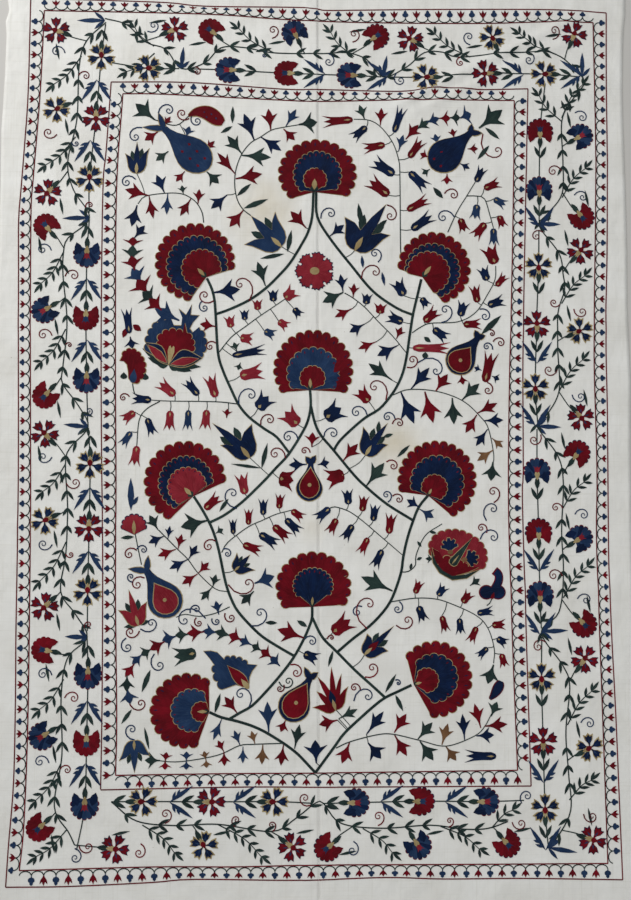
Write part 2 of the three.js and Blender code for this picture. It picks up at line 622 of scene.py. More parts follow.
@dataclass
class Fan:
    """A large carnation in side view: scalloped rings, thin straw lines and a calyx."""

    base: Point
    rings: list[FanRing]
    calyx: Point
    calyx_width: float

    def sew(self, work: Work) -> None:
        """Lays the rings from the widest to the narrowest, each with its rim and spots.

        Args:
            work: The area that is sewn.
        """
        for i, band in enumerate(self.rings):
            rx, ry = band.reach
            layer = 1 + 2 * i
            edged = replace(band, thread=W, reach=(rx + FAN_RIM, ry + FAN_RIM))
            self.sew_petals(work, edged, layer)
            self.sew_petals(work, band, layer + 1)
            self.sew_spots(work, band, layer + 2)
        grain = heading(self.base, self.calyx)
        top = 2 * len(self.rings) + 1
        work[G].patch(mirrored(self.base, between(self.base, self.calyx, 0.55),
                               self.calyx_width * 1.6, LEAF_SIDE), grain, top)
        work[W].patch(mirrored(between(self.base, self.calyx, 0.15), self.calyx,
                               self.calyx_width, LEAF_SIDE), grain, top + 1)

    def sew_petals(self, work: Work, band: FanRing, layer: int) -> None:
        """Fills a ring with one wedge for each scallop, its stitches running outwards.

        Args:
            work: The area.
            band: The ring.
            layer: How many layers of thread lie below.
        """
        first, last = band.arc
        step = (last - first) / band.scallop_count
        for i in range(band.scallop_count):
            lap = step * WEDGE_LAP
            wedge = scallops(self.base, band.centre, *band.reach, first + step * i - lap,
                             first + step * (i + 1) + lap, 1)
            grain = heading(self.base, wedge[4])
            work[band.thread].patch(wedge, grain, layer)

    def sew_spots(self, work: Work, band: FanRing, layer: int) -> None:
        """Lays a small spot in every other scallop.

        Args:
            work: The area.
            band: The ring.
            layer: How many layers of thread lie below.
        """
        first, last = band.arc
        rx, ry = band.reach
        if min(rx, ry) < SPOTTED_REACH:
            return
        thread = C if band.thread in (N, S) else N
        for i in range(band.scallop_count):
            angle = math.radians(first + (last - first) * (i + 0.5) / band.scallop_count)
            out = Vector((rx * math.cos(angle), ry * math.sin(angle))) + Vector(band.centre)
            inner = between(self.base, tuple(out), SPOT_START)
            outer = between(self.base, tuple(out), SPOT_END)
            work[thread].patch(mirrored(inner, outer, SPOT_WIDTH, SMALL_LEAF_SIDE),
                               heading(inner, outer), layer)


@dataclass
class Drop:
    """A drop with a round body, a bent neck and a forked tip."""

    thread: Thread
    middle: Point
    reach: tuple[float, float]
    neck: Point
    tips: tuple[Point, Point]
    disc: tuple[Thread, float, float] | None = None
    spots: int = 0

    def sew(self, work: Work) -> None:
        """Lays the drop over a straw rim, with its disc or spots.

        Args:
            work: The area that is sewn.
        """
        along = heading(self.middle, self.neck)
        foot = polar(self.middle, along, -self.reach[1])
        self.sew_body(work, W, RIM_WIDTH, 1)
        self.sew_body(work, self.thread, 0.0, 3)
        if self.disc:
            thread, rx, ry = self.disc
            for grow, cover, layer in ((RIM_WIDTH, W, 4), (0.0, thread, 5)):
                low = polar(foot, along, self.reach[1] - ry - grow)
                high = polar(foot, along, self.reach[1] + ry * 1.35 + grow * 2)
                work[cover].patch(mirrored(low, high, 2 * (rx + grow), DROP_HEART), along, layer)
            work[W].patch(ring(self.middle, DOT_REACH, DOT_REACH, 10), 0.0, 6)
        for i in range(self.spots):
            row, column = divmod(i, 2)
            spot = polar(self.middle, along, self.reach[0] * (0.62 * row - 0.5))
            spot = polar(spot, along + math.pi / 2, (column - 0.5) * self.reach[0] * 0.6)
            work[C].patch(mirrored(polar(spot, along, -5), polar(spot, along, 5), 8, SMALL_LEAF_SIDE),
                          along, 4)

    def sew_body(self, work: Work, thread: Thread, grow: float, layer: int) -> None:
        """Fills the drop's outline in one thread.

        Args:
            work: The area.
            thread: The thread.
            grow: Extra reach on every side.
            layer: How many layers of thread lie below.
        """
        rx, ry = self.reach
        grain = heading(self.middle, self.neck)
        foot = polar(self.middle, grain, -ry - grow)
        work[thread].patch(mirrored(foot, self.neck, 2 * (rx + grow), DROP_SIDE), grain, layer)
        for tip in self.tips:
            root = between(self.neck, tip, -0.25)
            end = between(self.neck, tip, 1 + grow / max(1.0, math.dist(self.neck, tip)))
            work[thread].patch(mirrored(root, end, 15 + 2 * grow, LEAF_SIDE),
                               heading(self.neck, tip), layer)


@dataclass
class Lily:
    """A flower of separate pointed petals with a straw rim and calyx."""

    thread: Thread
    base: Point
    tips: list[Point]
    heart: Thread | None = None

    def sew(self, work: Work) -> None:
        """Lays each petal over its rim, then the calyx and the heart.

        Args:
            work: The area that is sewn.
        """
        middle = tuple(sum((Vector(tip) for tip in self.tips), Vector((0, 0))) / len(self.tips))
        along = heading(self.base, middle)
        tips = sorted(self.tips, key=lambda tip: -math.remainder(heading(self.base, tip) - along, math.tau))
        for first, second in zip(tips, tips[1:]):
            if len(tips) > 3:
                break
            gap = between(first, second, 0.5)
            leaf = mirrored(between(self.base, gap, 0.5), between(self.base, gap, 0.92),
                            math.dist(self.base, gap) * 0.2, LEAF_SIDE)
            work[G].patch(leaf, heading(self.base, gap), 0)
        for grow, thread, layer in ((RIM_WIDTH, W, 1), (0.0, self.thread, 3)):
            work[thread].patch(tulip(self.base, tips, grow), along, layer)
        calyx = mirrored(between(self.base, middle, -0.06), between(self.base, middle, 0.42),
                         math.dist(self.base, middle) * 0.15, LEAF_SIDE)
        work[W].patch(calyx, along, 5)
        if self.heart:
            core = mirrored(between(self.base, middle, 0.2), between(self.base, middle, 0.8),
                            math.dist(self.base, middle) * 0.28, PETAL_SIDE)
            work[self.heart].patch(core, along, 4)


def tulip(base: Point, tips: Sequence[Point], grow: float) -> Outline:
    """A cup whose outer points bend away.

    Args:
        base: Where the flower leaves its stem.
        tips: Ends of the petals, from left to right of the way up.
        grow: Extra reach on every side.

    Returns:
        The closed outline.
    """
    sides = []
    for tip, sign in ((tips[0], 1), (tips[-1], -1)):
        run = Vector(tip) - Vector(base)
        out = Vector((-run.y, run.x)) * sign
        edge = out.normalized() * grow
        sides.append([Vector(base) + run * share + out * off + edge for share, off in TULIP_SIDE])
    left, right = sides
    outline = [*left]
    for i, tip in enumerate(tips):
        outline.append(Vector(between(base, tip, 1 + grow * 2 / math.dist(base, tip))))
        if tip != tips[-1]:
            gap = between(tip, tips[i + 1], 0.5)
            notch = Vector(between(base, gap, 0.5 + grow * 0.008))
            open_gap = between(base, gap, 0.84)
            outline.append(Vector(between(between(tip, tuple(notch), 0.5), open_gap, 0.2)))
            outline.append(notch)
            outline.append(Vector(between(between(tips[i + 1], tuple(notch), 0.5), open_gap, 0.2)))
    return [tuple(point) for point in (*outline, *reversed(right))]


def scalloped(points: Sequence[Point], height: float) -> Outline:
    """Round scallops that stand to the left of a line of points.

    Args:
        points: The notches between the scallops.
        height: How far they stand out, as a share of their width.

    Returns:
        The points of the scallops.
    """
    line = [points[0]]
    for start, end in zip(points, points[1:]):
        run = Vector(end) - Vector(start)
        out = Vector((-run.y, run.x)) * height
        line += [tuple(Vector(start) + run * share + out * rise)
                 for share, rise in ((0.1, 0.6), (0.3, 0.95), (0.5, 1.05), (0.7, 0.95), (0.9, 0.6), (1, 0))]
    return line


@dataclass
class Rosette:
    """A round flower of toothed petals about a plain centre."""

    centre: Point
    reach: float
    petal_count: int
    heart: float

    def sew(self, work: Work) -> None:
        """Lays navy petals, rose ones on them, and the centre.

        Args:
            work: The area that is sewn.
        """
        step = math.tau / self.petal_count
        for grow, thread, layer in ((2.6, N, 1), (0.0, R, 2)):
            for i in range(self.petal_count):
                teeth = [polar(self.centre, step * (i + share), self.reach * reach + grow)
                         for share, reach in ROSETTE_TEETH]
                work[thread].patch([self.centre, *teeth], step * (i + 0.5), layer)
        work[W].patch(ring(self.centre, self.heart, self.heart * 0.8, 18), 0.4, 4)


class Bloom(Enum):
    """The flowers of the borders."""

    CRIMSON_CARNATION = "crimson carnation"
    NAVY_CARNATION = "navy carnation"
    PRIMROSE = "primrose"
    STAR = "star flower"


CR, CB, PR, ST = Bloom.CRIMSON_CARNATION, Bloom.NAVY_CARNATION, Bloom.PRIMROSE, Bloom.STAR


@dataclass(frozen=True)
class Cloves:
    """Threads, rim width and heart of a flower of notched petals."""

    rim: Thread
    filling: Thread
    edge: float
    heart: tuple[float, float, float]


@dataclass
class BorderFlower:
    """A flower of the borders, on a straight stem that runs through it."""

    bloom: Bloom
    middle: Point
    facing: float
    reach: float = 34.0

    def sew(self, work: Work) -> None:
        """Lays the flower in its own way.

        Args:
            work: The area that is sewn.
        """
        if self.bloom in CLOVES:
            self.sew_cloves(work, CLOVES[self.bloom])
        else:
            self.sew_carnation(work)

    def sew_calyx(self, work: Work, layer: int) -> None:
        """Lays the green cup that the stem ends in, and the straw one inside it.

        Args:
            work: The border.
            layer: How many layers of thread lie below.
        """
        foot = polar(self.middle, self.facing, -self.reach * 1.3)
        cup = polar(self.middle, self.facing, -self.reach * 0.3)
        work[G].patch(mirrored(foot, cup, self.reach * 0.38, LEAF_SIDE), self.facing, layer)
        lip = polar(self.middle, self.facing, -self.reach * 0.62)
        crown = polar(self.middle, self.facing, -self.reach * 0.02)
        work[W].patch(mirrored(lip, crown, self.reach * 0.4, HEART_SIDE), self.facing, layer + 1)

    def sew_carnation(self, work: Work) -> None:
        """Lays a round scalloped fan with curled ends, its heart and its calyx.

        Args:
            work: The area that is sewn.
        """
        crimson = self.bloom is CR
        base = polar(self.middle, self.facing, -self.reach * 0.4)
        turn = math.degrees(self.facing)
        first, last = turn - CARNATION_SPREAD, turn + CARNATION_SPREAD
        if not crimson or self.middle[0] > 0:
            rim = scallops(base, self.middle, self.reach + 1.2, self.reach + 1.2, first, last,
                           CARNATION_LOBES, CARNATION_NOTCH)
            work[N if crimson else C].patch(rim, self.facing, 1)
        step = (last - first) / CARNATION_LOBES
        for i in range(CARNATION_LOBES):
            start = first + step * i - CARNATION_LAP
            end = first + step * (i + 1) + CARNATION_LAP
            wedge = scallops(base, self.middle, self.reach - 0.8, self.reach - 0.8, start, end, 1,
                             CARNATION_NOTCH)
            thread = C if crimson else N if i % 3 == 1 else S
            work[thread].patch(wedge, heading(base, wedge[4]), 2)
        for side in (1, -1):
            hook = polar(self.middle, self.facing + side * 2.42, self.reach * 1.16)
            root = polar(self.middle, self.facing + side * 1.5, self.reach * 0.5)
            work[C if crimson else N].patch(mirrored(root, hook, self.reach * 0.6, LEAF_SIDE),
                                            heading(root, hook), 3)
        self.sew_calyx(work, 4)
        heart = mirrored(polar(self.middle, self.facing, -self.reach * 0.1),
                         polar(self.middle, self.facing, self.reach * 0.42), self.reach * 0.5, BELL_SIDE)
        work[S if crimson else R].patch(heart, self.facing, 4)

    def sew_cloves(self, work: Work, parts: Cloves) -> None:
        """Lays five separate notched petals, the calyx and a crimson heart.

        Args:
            work: The border.
            parts: What sets this kind of flower apart.
        """
        for i in range(CLOVE_COUNT):
            angle = self.facing + (i - CLOVE_COUNT // 2) * PETAL_TURN
            for thread, edge, layer in ((parts.rim, 0.0, 1), (parts.filling, parts.edge, 2)):
                tip = polar(self.middle, angle, self.reach * 1.1 - edge * 1.3)
                width = self.reach * 0.72 - 2 * edge
                work[thread].patch(mirrored(self.middle, tip, width, CLOVE_SIDE), angle, layer)
            stroke = mirrored(polar(self.middle, angle, self.reach * 0.3),
                              polar(self.middle, angle, self.reach * 0.74), width * 0.22, SMALL_LEAF_SIDE)
            work[S].patch(stroke, angle, 3)
        self.sew_calyx(work, 4)
        low, high, width = (self.reach * share for share in parts.heart)
        heart = mirrored(polar(self.middle, self.facing, low), polar(self.middle, self.facing, high),
                         width, PETAL_SIDE)
        work[C].patch(heart, self.facing, 6)


@dataclass
class Sprig:
    """A bent stem with pairs of small leaves."""

    start: Point
    end: Point
    leaf_length: float = 28.0
    leaf_width: float = 7.6

    def sew(self, work: Work) -> None:
        """Lays the stem, the pairs of leaves and the leaf at the end.

        Args:
            work: The area that is sewn.
        """
        run = Vector(self.end) - Vector(self.start)
        bulge = Vector((-run.y, run.x)) * 0.06
        middle = Vector(between(self.start, self.end, 0.45)) + bulge
        foot = between(self.start, self.end, 1 - self.leaf_length / run.length)
        line = smooth_line([self.start, tuple(middle), foot], 3)
        pairs = max(3, round((run.length - self.leaf_length) / PAIR_PITCH))
        work[G].ribbon(line, lambda share: 3.0 - 1.2 * share, 0)
        for i in range(pairs):
            at = round((len(line) - 1) * (i + 0.9) / pairs)
            here = line[at]
            along = heading(tuple(line[max(at - 1, 0)]), tuple(line[min(at + 1, len(line) - 1)]))
            length = self.leaf_length * (1 - 0.05 * i)
            for side in (1, -1):
                tip = polar(tuple(here), along + side * LEAF_TURN, length)
                work[G].patch(mirrored(tuple(here), tip, self.leaf_width, LEAF_SIDE),
                              along + side * LEAF_TURN, 1)
        work[G].patch(mirrored(foot, self.end, self.leaf_width, LEAF_SIDE), heading(foot, self.end), 1)


@dataclass
class FrameSide:
    """One side of a border frame: two crimson lines with small motifs between them."""

    outer: list[Point]
    inner: list[Point]
    pitch: float = 29.0

    def sew(self, work: Work) -> None:
        """Lays the two lines, the scalloped line beside the inner one and the motifs.

        Args:
            work: The area that is sewn.
        """
        outer, inner = smooth_line(self.outer, 28), smooth_line(self.inner, 28)
        for line in (outer, inner):
            work[C].ribbon(line, lambda share: LINE_WIDTH, 0)
        length = sum((b - a).length for a, b in zip(inner, inner[1:]))
        count = round(length / self.pitch)
        for i in range(count):
            foot = along_line(inner, (i + 0.5) / count)
            way = nearest_on(outer, foot) - foot
            gap = way.length
            way.normalize()
            side = Vector((-way.y, way.x))
            swag = [foot + side * self.pitch * along + way * off for along, off in SWAG]
            work[G].ribbon(smooth_line([tuple(point) for point in swag], 5), lambda share: 2.5, 0)
            root = foot + side * self.pitch * 0.5 + way * SWAG[0][1]
            thread, shape, width = (C, CROWN_SIDE, 17.0) if i % 2 else (S, CLUB_SIDE, 16.0)
            tip = root + way * (gap - SWAG[0][1] - 2.5)
            work[thread].patch(mirrored(tuple(root), tuple(tip), width, shape),
                               heading(tuple(root), tuple(tip)), 1)


def along_line(line: Sequence[Vector], share: float) -> Vector:
    """The point a share of the way along a line, by length.

    Args:
        line: The line.
        share: Share of its length.

    Returns:
        The place there.
    """
    steps = [(b - a).length for a, b in zip(line, line[1:])]
    left = share * sum(steps)
    for start, end, step in zip(line, line[1:], steps):
        if left <= step:
            return start.lerp(end, left / step)
        left -= step
    return line[-1].copy()


def nearest_on(line: Sequence[Vector], point: Vector) -> Vector:
    """The point of a line that is nearest to another point.

    Args:
        line: Points along the line.
        point: The other point.

    Returns:
        The nearest place on its straight stretches.
    """
    best = line[0]
    for start, end in zip(line, line[1:]):
        run = end - start
        share = min(max((point - start).dot(run) / max(run.length_squared, 1e-9), 0.0), 1.0)
        place = start + run * share
        if (place - point).length < (best - point).length:
            best = place
    return best


# Half of a tulip's outline: shares of the way to its outer point, and how far out.
TULIP_SIDE = [(0.0, 0.04), (0.08, 0.13), (0.22, 0.19), (0.42, 0.18), (0.62, 0.1), (0.8, 0.03)]
# One petal of the rosette: shares of its width, and of the flower's reach.
ROSETTE_TEETH = [(0.0, 0.72), (0.07, 0.74), (0.1, 0.84), (0.05, 0.95), (0.2, 0.92), (0.26, 1.0), (0.36, 0.93),
                 (0.5, 1.04), (0.64, 0.93), (0.74, 1.0), (0.8, 0.92), (0.95, 0.95), (0.9, 0.84),
                 (0.93, 0.74), (1.0, 0.72)]
PETAL_TURN = math.radians(70)
CLOVE_COUNT = 5
CLOVES = {
    PR: Cloves(N, C, 1.5, (-0.12, 0.4, 0.42)),
    ST: Cloves(W, N, 2.8, (-0.34, 0.22, 0.4)),
}
# The carnation's lobes, how deep they are notched, and how far they open and overlap in degrees.
CARNATION_LOBES = 11
CARNATION_NOTCH = 0.17
CARNATION_SPREAD = 134
CARNATION_LAP = 1.5
LEAF_TURN = 0.72
PAIR_PITCH = 21.0
CURL_REACH = 14.0
# One swag of a frame: shares of the pitch and distances from the inner line.
SWAG = [(-0.5, 12.0), (-0.36, 5.5), (0.0, 2.2), (0.36, 5.5), (0.5, 12.0)]
FAN_RIM = 1.5
WEDGE_LAP = 0.06
RIM_WIDTH = 1.8
SPOTTED_REACH = 40.0
SPOT_START = 0.86
SPOT_END = 0.95
SPOT_WIDTH = 3.6
DOT_REACH = 5.0
LINE_WIDTH = 2.7


# Large fans: base, rings from the widest in (thread, centre, reaches, arc in degrees,
# scallops), tip of the calyx and its width.
FANS = [
    Fan((-20, 603), [FanRing(C, (-12, 650), (100, 90), (230, -43), 17),
                     FanRing(N, (-12, 648), (62, 62), (230, -43), 17),
                     FanRing(C, (-18, 635), (30, 30), (230, -43), 10)], (-19, 637), 14),
    Fan((-290, 380), [FanRing(C, (-318, 418), (100, 100), (-12, 266), 19),
                      FanRing(N, (-313, 410), (77, 77), (-12, 266), 19),
                      FanRing(C, (-302, 402), (50, 50), (-12, 266), 14)], (-312, 403), 10),
    Fan((255, 388), [FanRing(C, (285, 412), (93, 93), (184, -78), 16),
                     FanRing(N, (280, 405), (71, 71), (184, -78), 17),
                     FanRing(C, (270, 400), (55, 55), (184, -78), 13)], (277, 417), 10),
    Fan((-27, 98), [FanRing(C, (-20, 150), (100, 100), (220, -39), 18),
                    FanRing(S, (-20, 140), (67, 67), (220, -39), 13),
                    FanRing(C, (-22, 128), (32, 32), (220, -39), 10)], (-28, 128), 9),
    Fan((-315, -168), [FanRing(C, (-335, -132), (101, 101), (-2, 251), 16),
                       FanRing(N, (-333, -135), (68, 68), (-2, 251), 18),
                       FanRing(R, (-330, -143), (48, 48), (-2, 251), 13)], (-337, -146), 11),
    Fan((267, -163), [FanRing(C, (290, -125), (99, 99), (200, -70), 19),
                      FanRing(N, (290, -130), (68, 68), (200, -70), 15),
                      FanRing(C, (283, -143), (33, 33), (200, -70), 11)], (276, -146), 7),
    Fan((-20, -437), [FanRing(C, (-17, -388), (93, 86), (222, -36), 15),
                      FanRing(N, (-18, -385), (50, 44), (222, -36), 16)], (-19, -412), 7),
    Fan((-268, -688), [FanRing(C, (-322, -686), (90, 90), (49, 291), 14),
                       FanRing(S, (-310, -685), (52, 52), (49, 291), 11),
                       FanRing(C, (-288, -688), (24, 24), (49, 291), 8)], (-298, -688), 8),
    Fan((230, -625), [FanRing(C, (282, -613), (93, 93), (145, -99), 15),
                      FanRing(N, (280, -610), (60, 60), (145, -99), 11),
                      FanRing(C, (262, -615), (30, 30), (145, -99), 9)], (250, -620), 7),
]

# The vines that cross the field.
VINES = [
    [(-22, 603), (-25, 540), (-35, 500), (-50, 470), (-80, 420), (-110, 385), (-140, 355),
     (-180, 325), (-230, 300), (-265, 287)],
    [(-288, 378), (-275, 350), (-268, 320), (-265, 285), (-258, 190), (-245, 145), (-225, 100),
     (-205, 60), (-180, 30), (-140, 0), (-110, -20), (-78, -60)],
    [(-15, 603), (-12, 540), (20, 485), (75, 415), (130, 350), (190, 308), (228, 292)],
    [(252, 383), (243, 345), (230, 290), (222, 240), (215, 190), (205, 145), (190, 110),
     (170, 80), (145, 52), (110, 30), (75, 0), (45, -30), (32, -52)],
    [(-28, 98), (-26, 60), (-32, 25), (-45, -5), (-80, -62), (-110, -95), (-140, -128),
     (-180, -168), (-205, -190), (-240, -215), (-272, -231)],
    [(-26, 60), (-15, 15), (0, -15), (30, -50), (80, -110), (110, -140), (165, -185), (230, -225)],
    [(-313, -168), (-295, -195), (-275, -230), (-262, -260), (-250, -300), (-232, -380),
     (-215, -425), (-200, -450), (-170, -483), (-140, -510), (-100, -535), (-65, -555)],
    [(267, -163), (245, -190), (230, -225), (215, -270), (205, -315), (200, -350), (187, -390),
     (172, -425), (150, -455), (120, -485), (80, -515), (42, -547)],
    [(-20, -437), (-20, -462), (-25, -480), (-40, -515), (-65, -560), (-95, -600), (-130, -640),
     (-165, -675), (-195, -692), (-222, -708)],
    [(-20, -462), (5, -510), (40, -545), (85, -590), (130, -630), (160, -657)],
    [(-268, -690), (-240, -702), (-200, -712), (-160, -725), (-120, -745), (-60, -785), (-10, -835)],
    [(-10, -835), (35, -775), (60, -742), (100, -705), (135, -675), (160, -657), (190, -643),
     (225, -627)],
]

# Thin stems that carry the small flowers.
STEMS = [
    [(-298, 520), (-302, 545), (-316, 570), (-335, 585), (-355, 593), (-390, 594), (-445, 585), (-463, 565)],
    [(-180, 540), (-200, 556), (-214, 580), (-221, 615), (-219, 655), (-205, 697), (-182, 728),
     (-158, 743), (-130, 762), (-100, 770), (-58, 778)],
    [(200, 440), (199, 500), (198, 650), (195, 690), (180, 735), (150, 775), (120, 793), (80, 795)],
    [(320, 505), (345, 560), (368, 598), (392, 638)],
    [(368, 600), (395, 600), (415, 593), (430, 545), (437, 518)],
    [(-255, 192), (-225, 230), (-190, 257), (-160, 280), (-120, 308), (-92, 328)],
    [(58, 345), (80, 332), (110, 308), (145, 270), (180, 235), (213, 195)],
    [(228, 245), (250, 260), (275, 270), (345, 275), (390, 300), (420, 345), (440, 385), (442, 420)],
    [(-209, 62), (-260, 67), (-380, 68), (-421, 70)],
    [(-400, 67), (-432, 48), (-450, 20), (-455, -45)],
    [(180, 88), (220, 102), (290, 98), (355, 75), (400, 35), (420, 5), (433, -60), (431, -80)],
    [(-398, -250), (-352, -296), (-325, -322), (-300, -355), (-258, -393), (-228, -400)],
    [(-243, -305), (-228, -280), (-180, -243), (-142, -225), (-108, -210), (-65, -199)],
    [(20, -197), (35, -192), (70, -203), (102, -225), (132, -250), (205, -312)],
    [(172, -425), (230, -416), (280, -417), (320, -428), (385, -458), (415, -490), (430, -540), (428, -575)],
    [(-90, -765), (-160, -767), (-195, -770), (-250, -793), (-340, -807), (-400, -803)],
    [(40, -777), (75, -762), (140, -746), (180, -745), (245, -760), (310, -774), (380, -750),
     (405, -727), (422, -697)],
    [(203, -352), (218, -350), (235, -335), (237, -310), (260, -262), (302, -233)],
    [(-222, -437), (-255, -452), (-295, -460), (-330, -455), (-352, -462)],
    [(-425, 783), (-370, 770), (-325, 803), (-275, 790)],
]

# Buds: thread, base x and y, tip x and y, width across the prongs.
BUDS = [
    (G, -425, 783, -474, 824, 54), (C, -403, 767, -385, 792, 22), (C, -416, 752, -449, 729, 36),
    (S, -345, 739, -337, 768, 30), (N, -173, 735, -200, 804, 44), (G, -203, 698, -241, 745, 38),
    (C, -219, 645, -266, 701, 32), (C, -298, 706, -273, 731, 24), (G, -389, 702, -420, 677, 32),
    (C, -437, 587, -496, 602, 40), (N, -397, 594, -418, 641, 36), (C, -347, 651, -369, 624, 26),
    (G, -292, 651, -261, 621, 40), (G, -350, 592, -354, 615, 22), (C, -313, 567, -310, 606, 28),
    (C, -330, 582, -357, 536, 30), (S, -389, 594, -391, 539, 28), (C, -436, 588, -424, 528, 30),
    (N, -465, 562, -478, 507, 40), (N, -240, 592, -280, 556, 38), (C, -199, 553, -233, 510, 40),
    (C, -219, 634, -152, 648, 44), (G, -204, 695, -130, 691, 44), (C, -131, 761, -138, 818, 38),
    (S, -93, 773, -67, 818, 30), (G, -60, 778, -13, 785, 52), (C, -99, 766, -70, 737, 34),
    (N, -157, 744, -104, 709, 38), (C, -40, 510, -80, 553, 42), (N, 20, 490, 56, 520, 34),
    (G, 108, 794, 94, 833, 30), (C, 148, 780, 151, 826, 30), (S, 195, 714, 207, 757, 28),
    (G, 402, 778, 463, 828, 60), (C, 338, 749, 332, 776, 22), (S, 295, 732, 288, 761, 26),
    (C, 272, 699, 250, 709, 26), (G, 275, 668, 255, 655, 24), (N, 351, 685, 377, 671, 22),
    (C, 319, 657, 318, 629, 28), (C, 372, 723, 399, 724, 26), (N, -471, 477, -445, 510, 34),
    (N, -476, 228, -470, 198, 34), (N, -270, 342, -205, 351, 52), (C, -264, 256, -304, 262, 34),
    (G, -211, 194, -219, 217, 24), (G, -142, 362, -162, 422, 40), (N, 54, 347, 47, 393, 30),
    (C, 79, 333, 82, 370, 26), (G, 55, 347, 2, 320, 44), (C, 78, 306, 33, 283, 30),
    (N, 108, 266, 70, 245, 34), (C, 138, 222, 92, 203, 28), (C, 188, 229, 202, 260, 26),
    (N, 190, 212, 140, 186, 40), (G, -202, 166, -208, 147, 22), (C, -235, 27, -233, 50, 24),
    (C, -23, -44, -21, -7, 36), (N, -35, -87, -80, -89, 34), (N, -8, -88, 21, -81, 30),
    (C, 55, -78, 92, -35, 38), (G, 178, 125, 118, 167, 40), (G, 113, -140, 158, -82, 46),
    (N, 225, 103, 272, 158, 40), (C, 287, 98, 318, 142, 40), (C, 352, 141, 357, 115, 26),
    (G, 353, 76, 398, 119, 40), (C, 391, 43, 443, 70, 34), (N, 408, 25, 458, 27, 34),
    (N, 200, 95, 233, 16, 50), (C, 260, 97, 281, 18, 50), (G, 329, 82, 333, 15, 44),
    (C, 391, 40, 362, -6, 36), (N, 418, 4, 388, -39, 30), (O, 428, -18, 456, -42, 24),
    (O, 432, -48, 391, -76, 32), (G, 431, -78, 425, -126, 46), (N, 404, 152, 385, 160, 20),
    (N, 430, 138, 449, 129, 24), (G, -399, -250, -421, -214, 34), (N, -384, -265, -422, -282, 30),
    (N, -375, -273, -370, -240, 20), (C, -350, -297, -341, -260, 26), (C, -355, -297, -399, -314, 30),
    (N, -324, -322, -303, -287, 28), (N, -326, -322, -370, -345, 30), (C, -300, -356, -274, -329, 28),
    (C, -301, -357, -339, -382, 30), (G, -264, -390, -256, -358, 26), (G, -265, -389, -292, -421, 26),
    (G, -280, -227, -344, -243, 56), (G, -258, -258, -240, -247, 24), (G, -163, -399, -194, -430, 34),
    (S, -248, -456, -256, -422, 28), (S, -162, -380, -113, -362, 48), (G, 178, -398, 100, -363, 50),
    (N, 247, -193, 214, -173, 30), (S, 248, -198, 281, -218, 34), (G, 283, -320, 260, -319, 20),
    (G, 428, -578, 413, -625, 46), (S, -238, -706, -258, -756, 26), (C, -201, -692, -232, -653, 34),
    (G, -385, -804, -422, -803, 36), (C, -373, -806, -370, -784, 28), (C, -373, -804, -373, -826, 28),
    (S, -322, -805, -322, -783, 30), (S, -322, -805, -322, -826, 30), (O, -275, -803, -280, -782, 22),
    (O, -275, -802, -273, -822, 26), (C, -232, -784, -247, -757, 24), (C, -232, -783, -230, -818, 28),
    (S, -193, -769, -208, -733, 24), (S, -186, -772, -186, -812, 24), (O, -157, -766, -166, -735, 24),
    (O, -138, -768, -140, -815, 32), (C, -88, -768, -94, -818, 32), (C, -40, -512, -105, -491, 48),
    (C, -83, -709, -95, -738, 30), (S, -124, -738, -128, -665, 42), (G, -61, -778, -49, -720, 34),
    (N, -8, -812, -11, -757, 52), (C, 43, -710, -2, -721, 38), (G, 46, -707, 92, -684, 28),
    (N, 114, -745, 156, -690, 36), (N, 118, -765, 150, -803, 46), (C, 73, -764, 54, -814, 40),
    (C, 182, -741, 212, -696, 38), (C, 183, -747, 213, -797, 38), (G, 240, -757, 276, -717, 38),
    (G, 245, -762, 278, -808, 44), (O, 299, -771, 314, -720, 34), (O, 309, -775, 334, -809, 36),
    (N, 355, -760, 350, -697, 32), (C, 395, -731, 380, -672, 34), (G, 421, -703, 436, -668, 36),
    (C, 404, -727, 461, -722, 36), (N, 384, -750, 428, -748, 36), (G, 370, -385, 395, -368, 26),
]

# Chains of arrow buds: thread, base, then the tips of the two outer prongs.
ARROWS = [
    (C, 213, 745, 228, 788, 249, 762), (G, 238, 770, 260, 803, 272, 777),
    (S, 266, 790, 287, 815, 297, 785), (C, 300, 802, 322, 820, 322, 785),
    (G, 327, 804, 347, 823, 348, 786), (S, 354, 804, 380, 836, 371, 790),
    (C, -474, 452, -494, 480, -453, 468), (G, -475, 418, -497, 449, -452, 451),
    (C, -468, 395, -498, 418, -452, 430), (S, -450, 363, -490, 378, -449, 406),
    (C, -435, 338, -480, 349, -432, 380), (G, -417, 318, -460, 320, -422, 353),
    (C, -399, 295, -439, 300, -409, 336), (S, -355, 270, -409, 268, -396, 317),
    (C, -378, -520, -415, -520, -397, -552), (S, -352, -508, -385, -497, -370, -535),
    (G, -320, -503, -350, -488, -342, -522), (C, -282, -497, -320, -483, -312, -518),
    (S, -250, -499, -280, -480, -278, -512), (G, -217, -507, -245, -482, -252, -515),
    (C, -192, -517, -210, -488, -222, -525), (S, -165, -530, -185, -505, -198, -530),
    (G, -143, -543, -155, -519, -168, -545), (C, -118, -560, -128, -532, -150, -558),
    (S, -98, -580, -103, -552, -130, -572), (G, -410, -538, -440, -538, -420, -562),
    (S, -432, -550, -460, -558, -442, -580), (C, -450, -572, -480, -588, -455, -607),
    (G, -468, -600, -485, -630, -452, -632), (S, -468, -632, -480, -665, -442, -657),
]

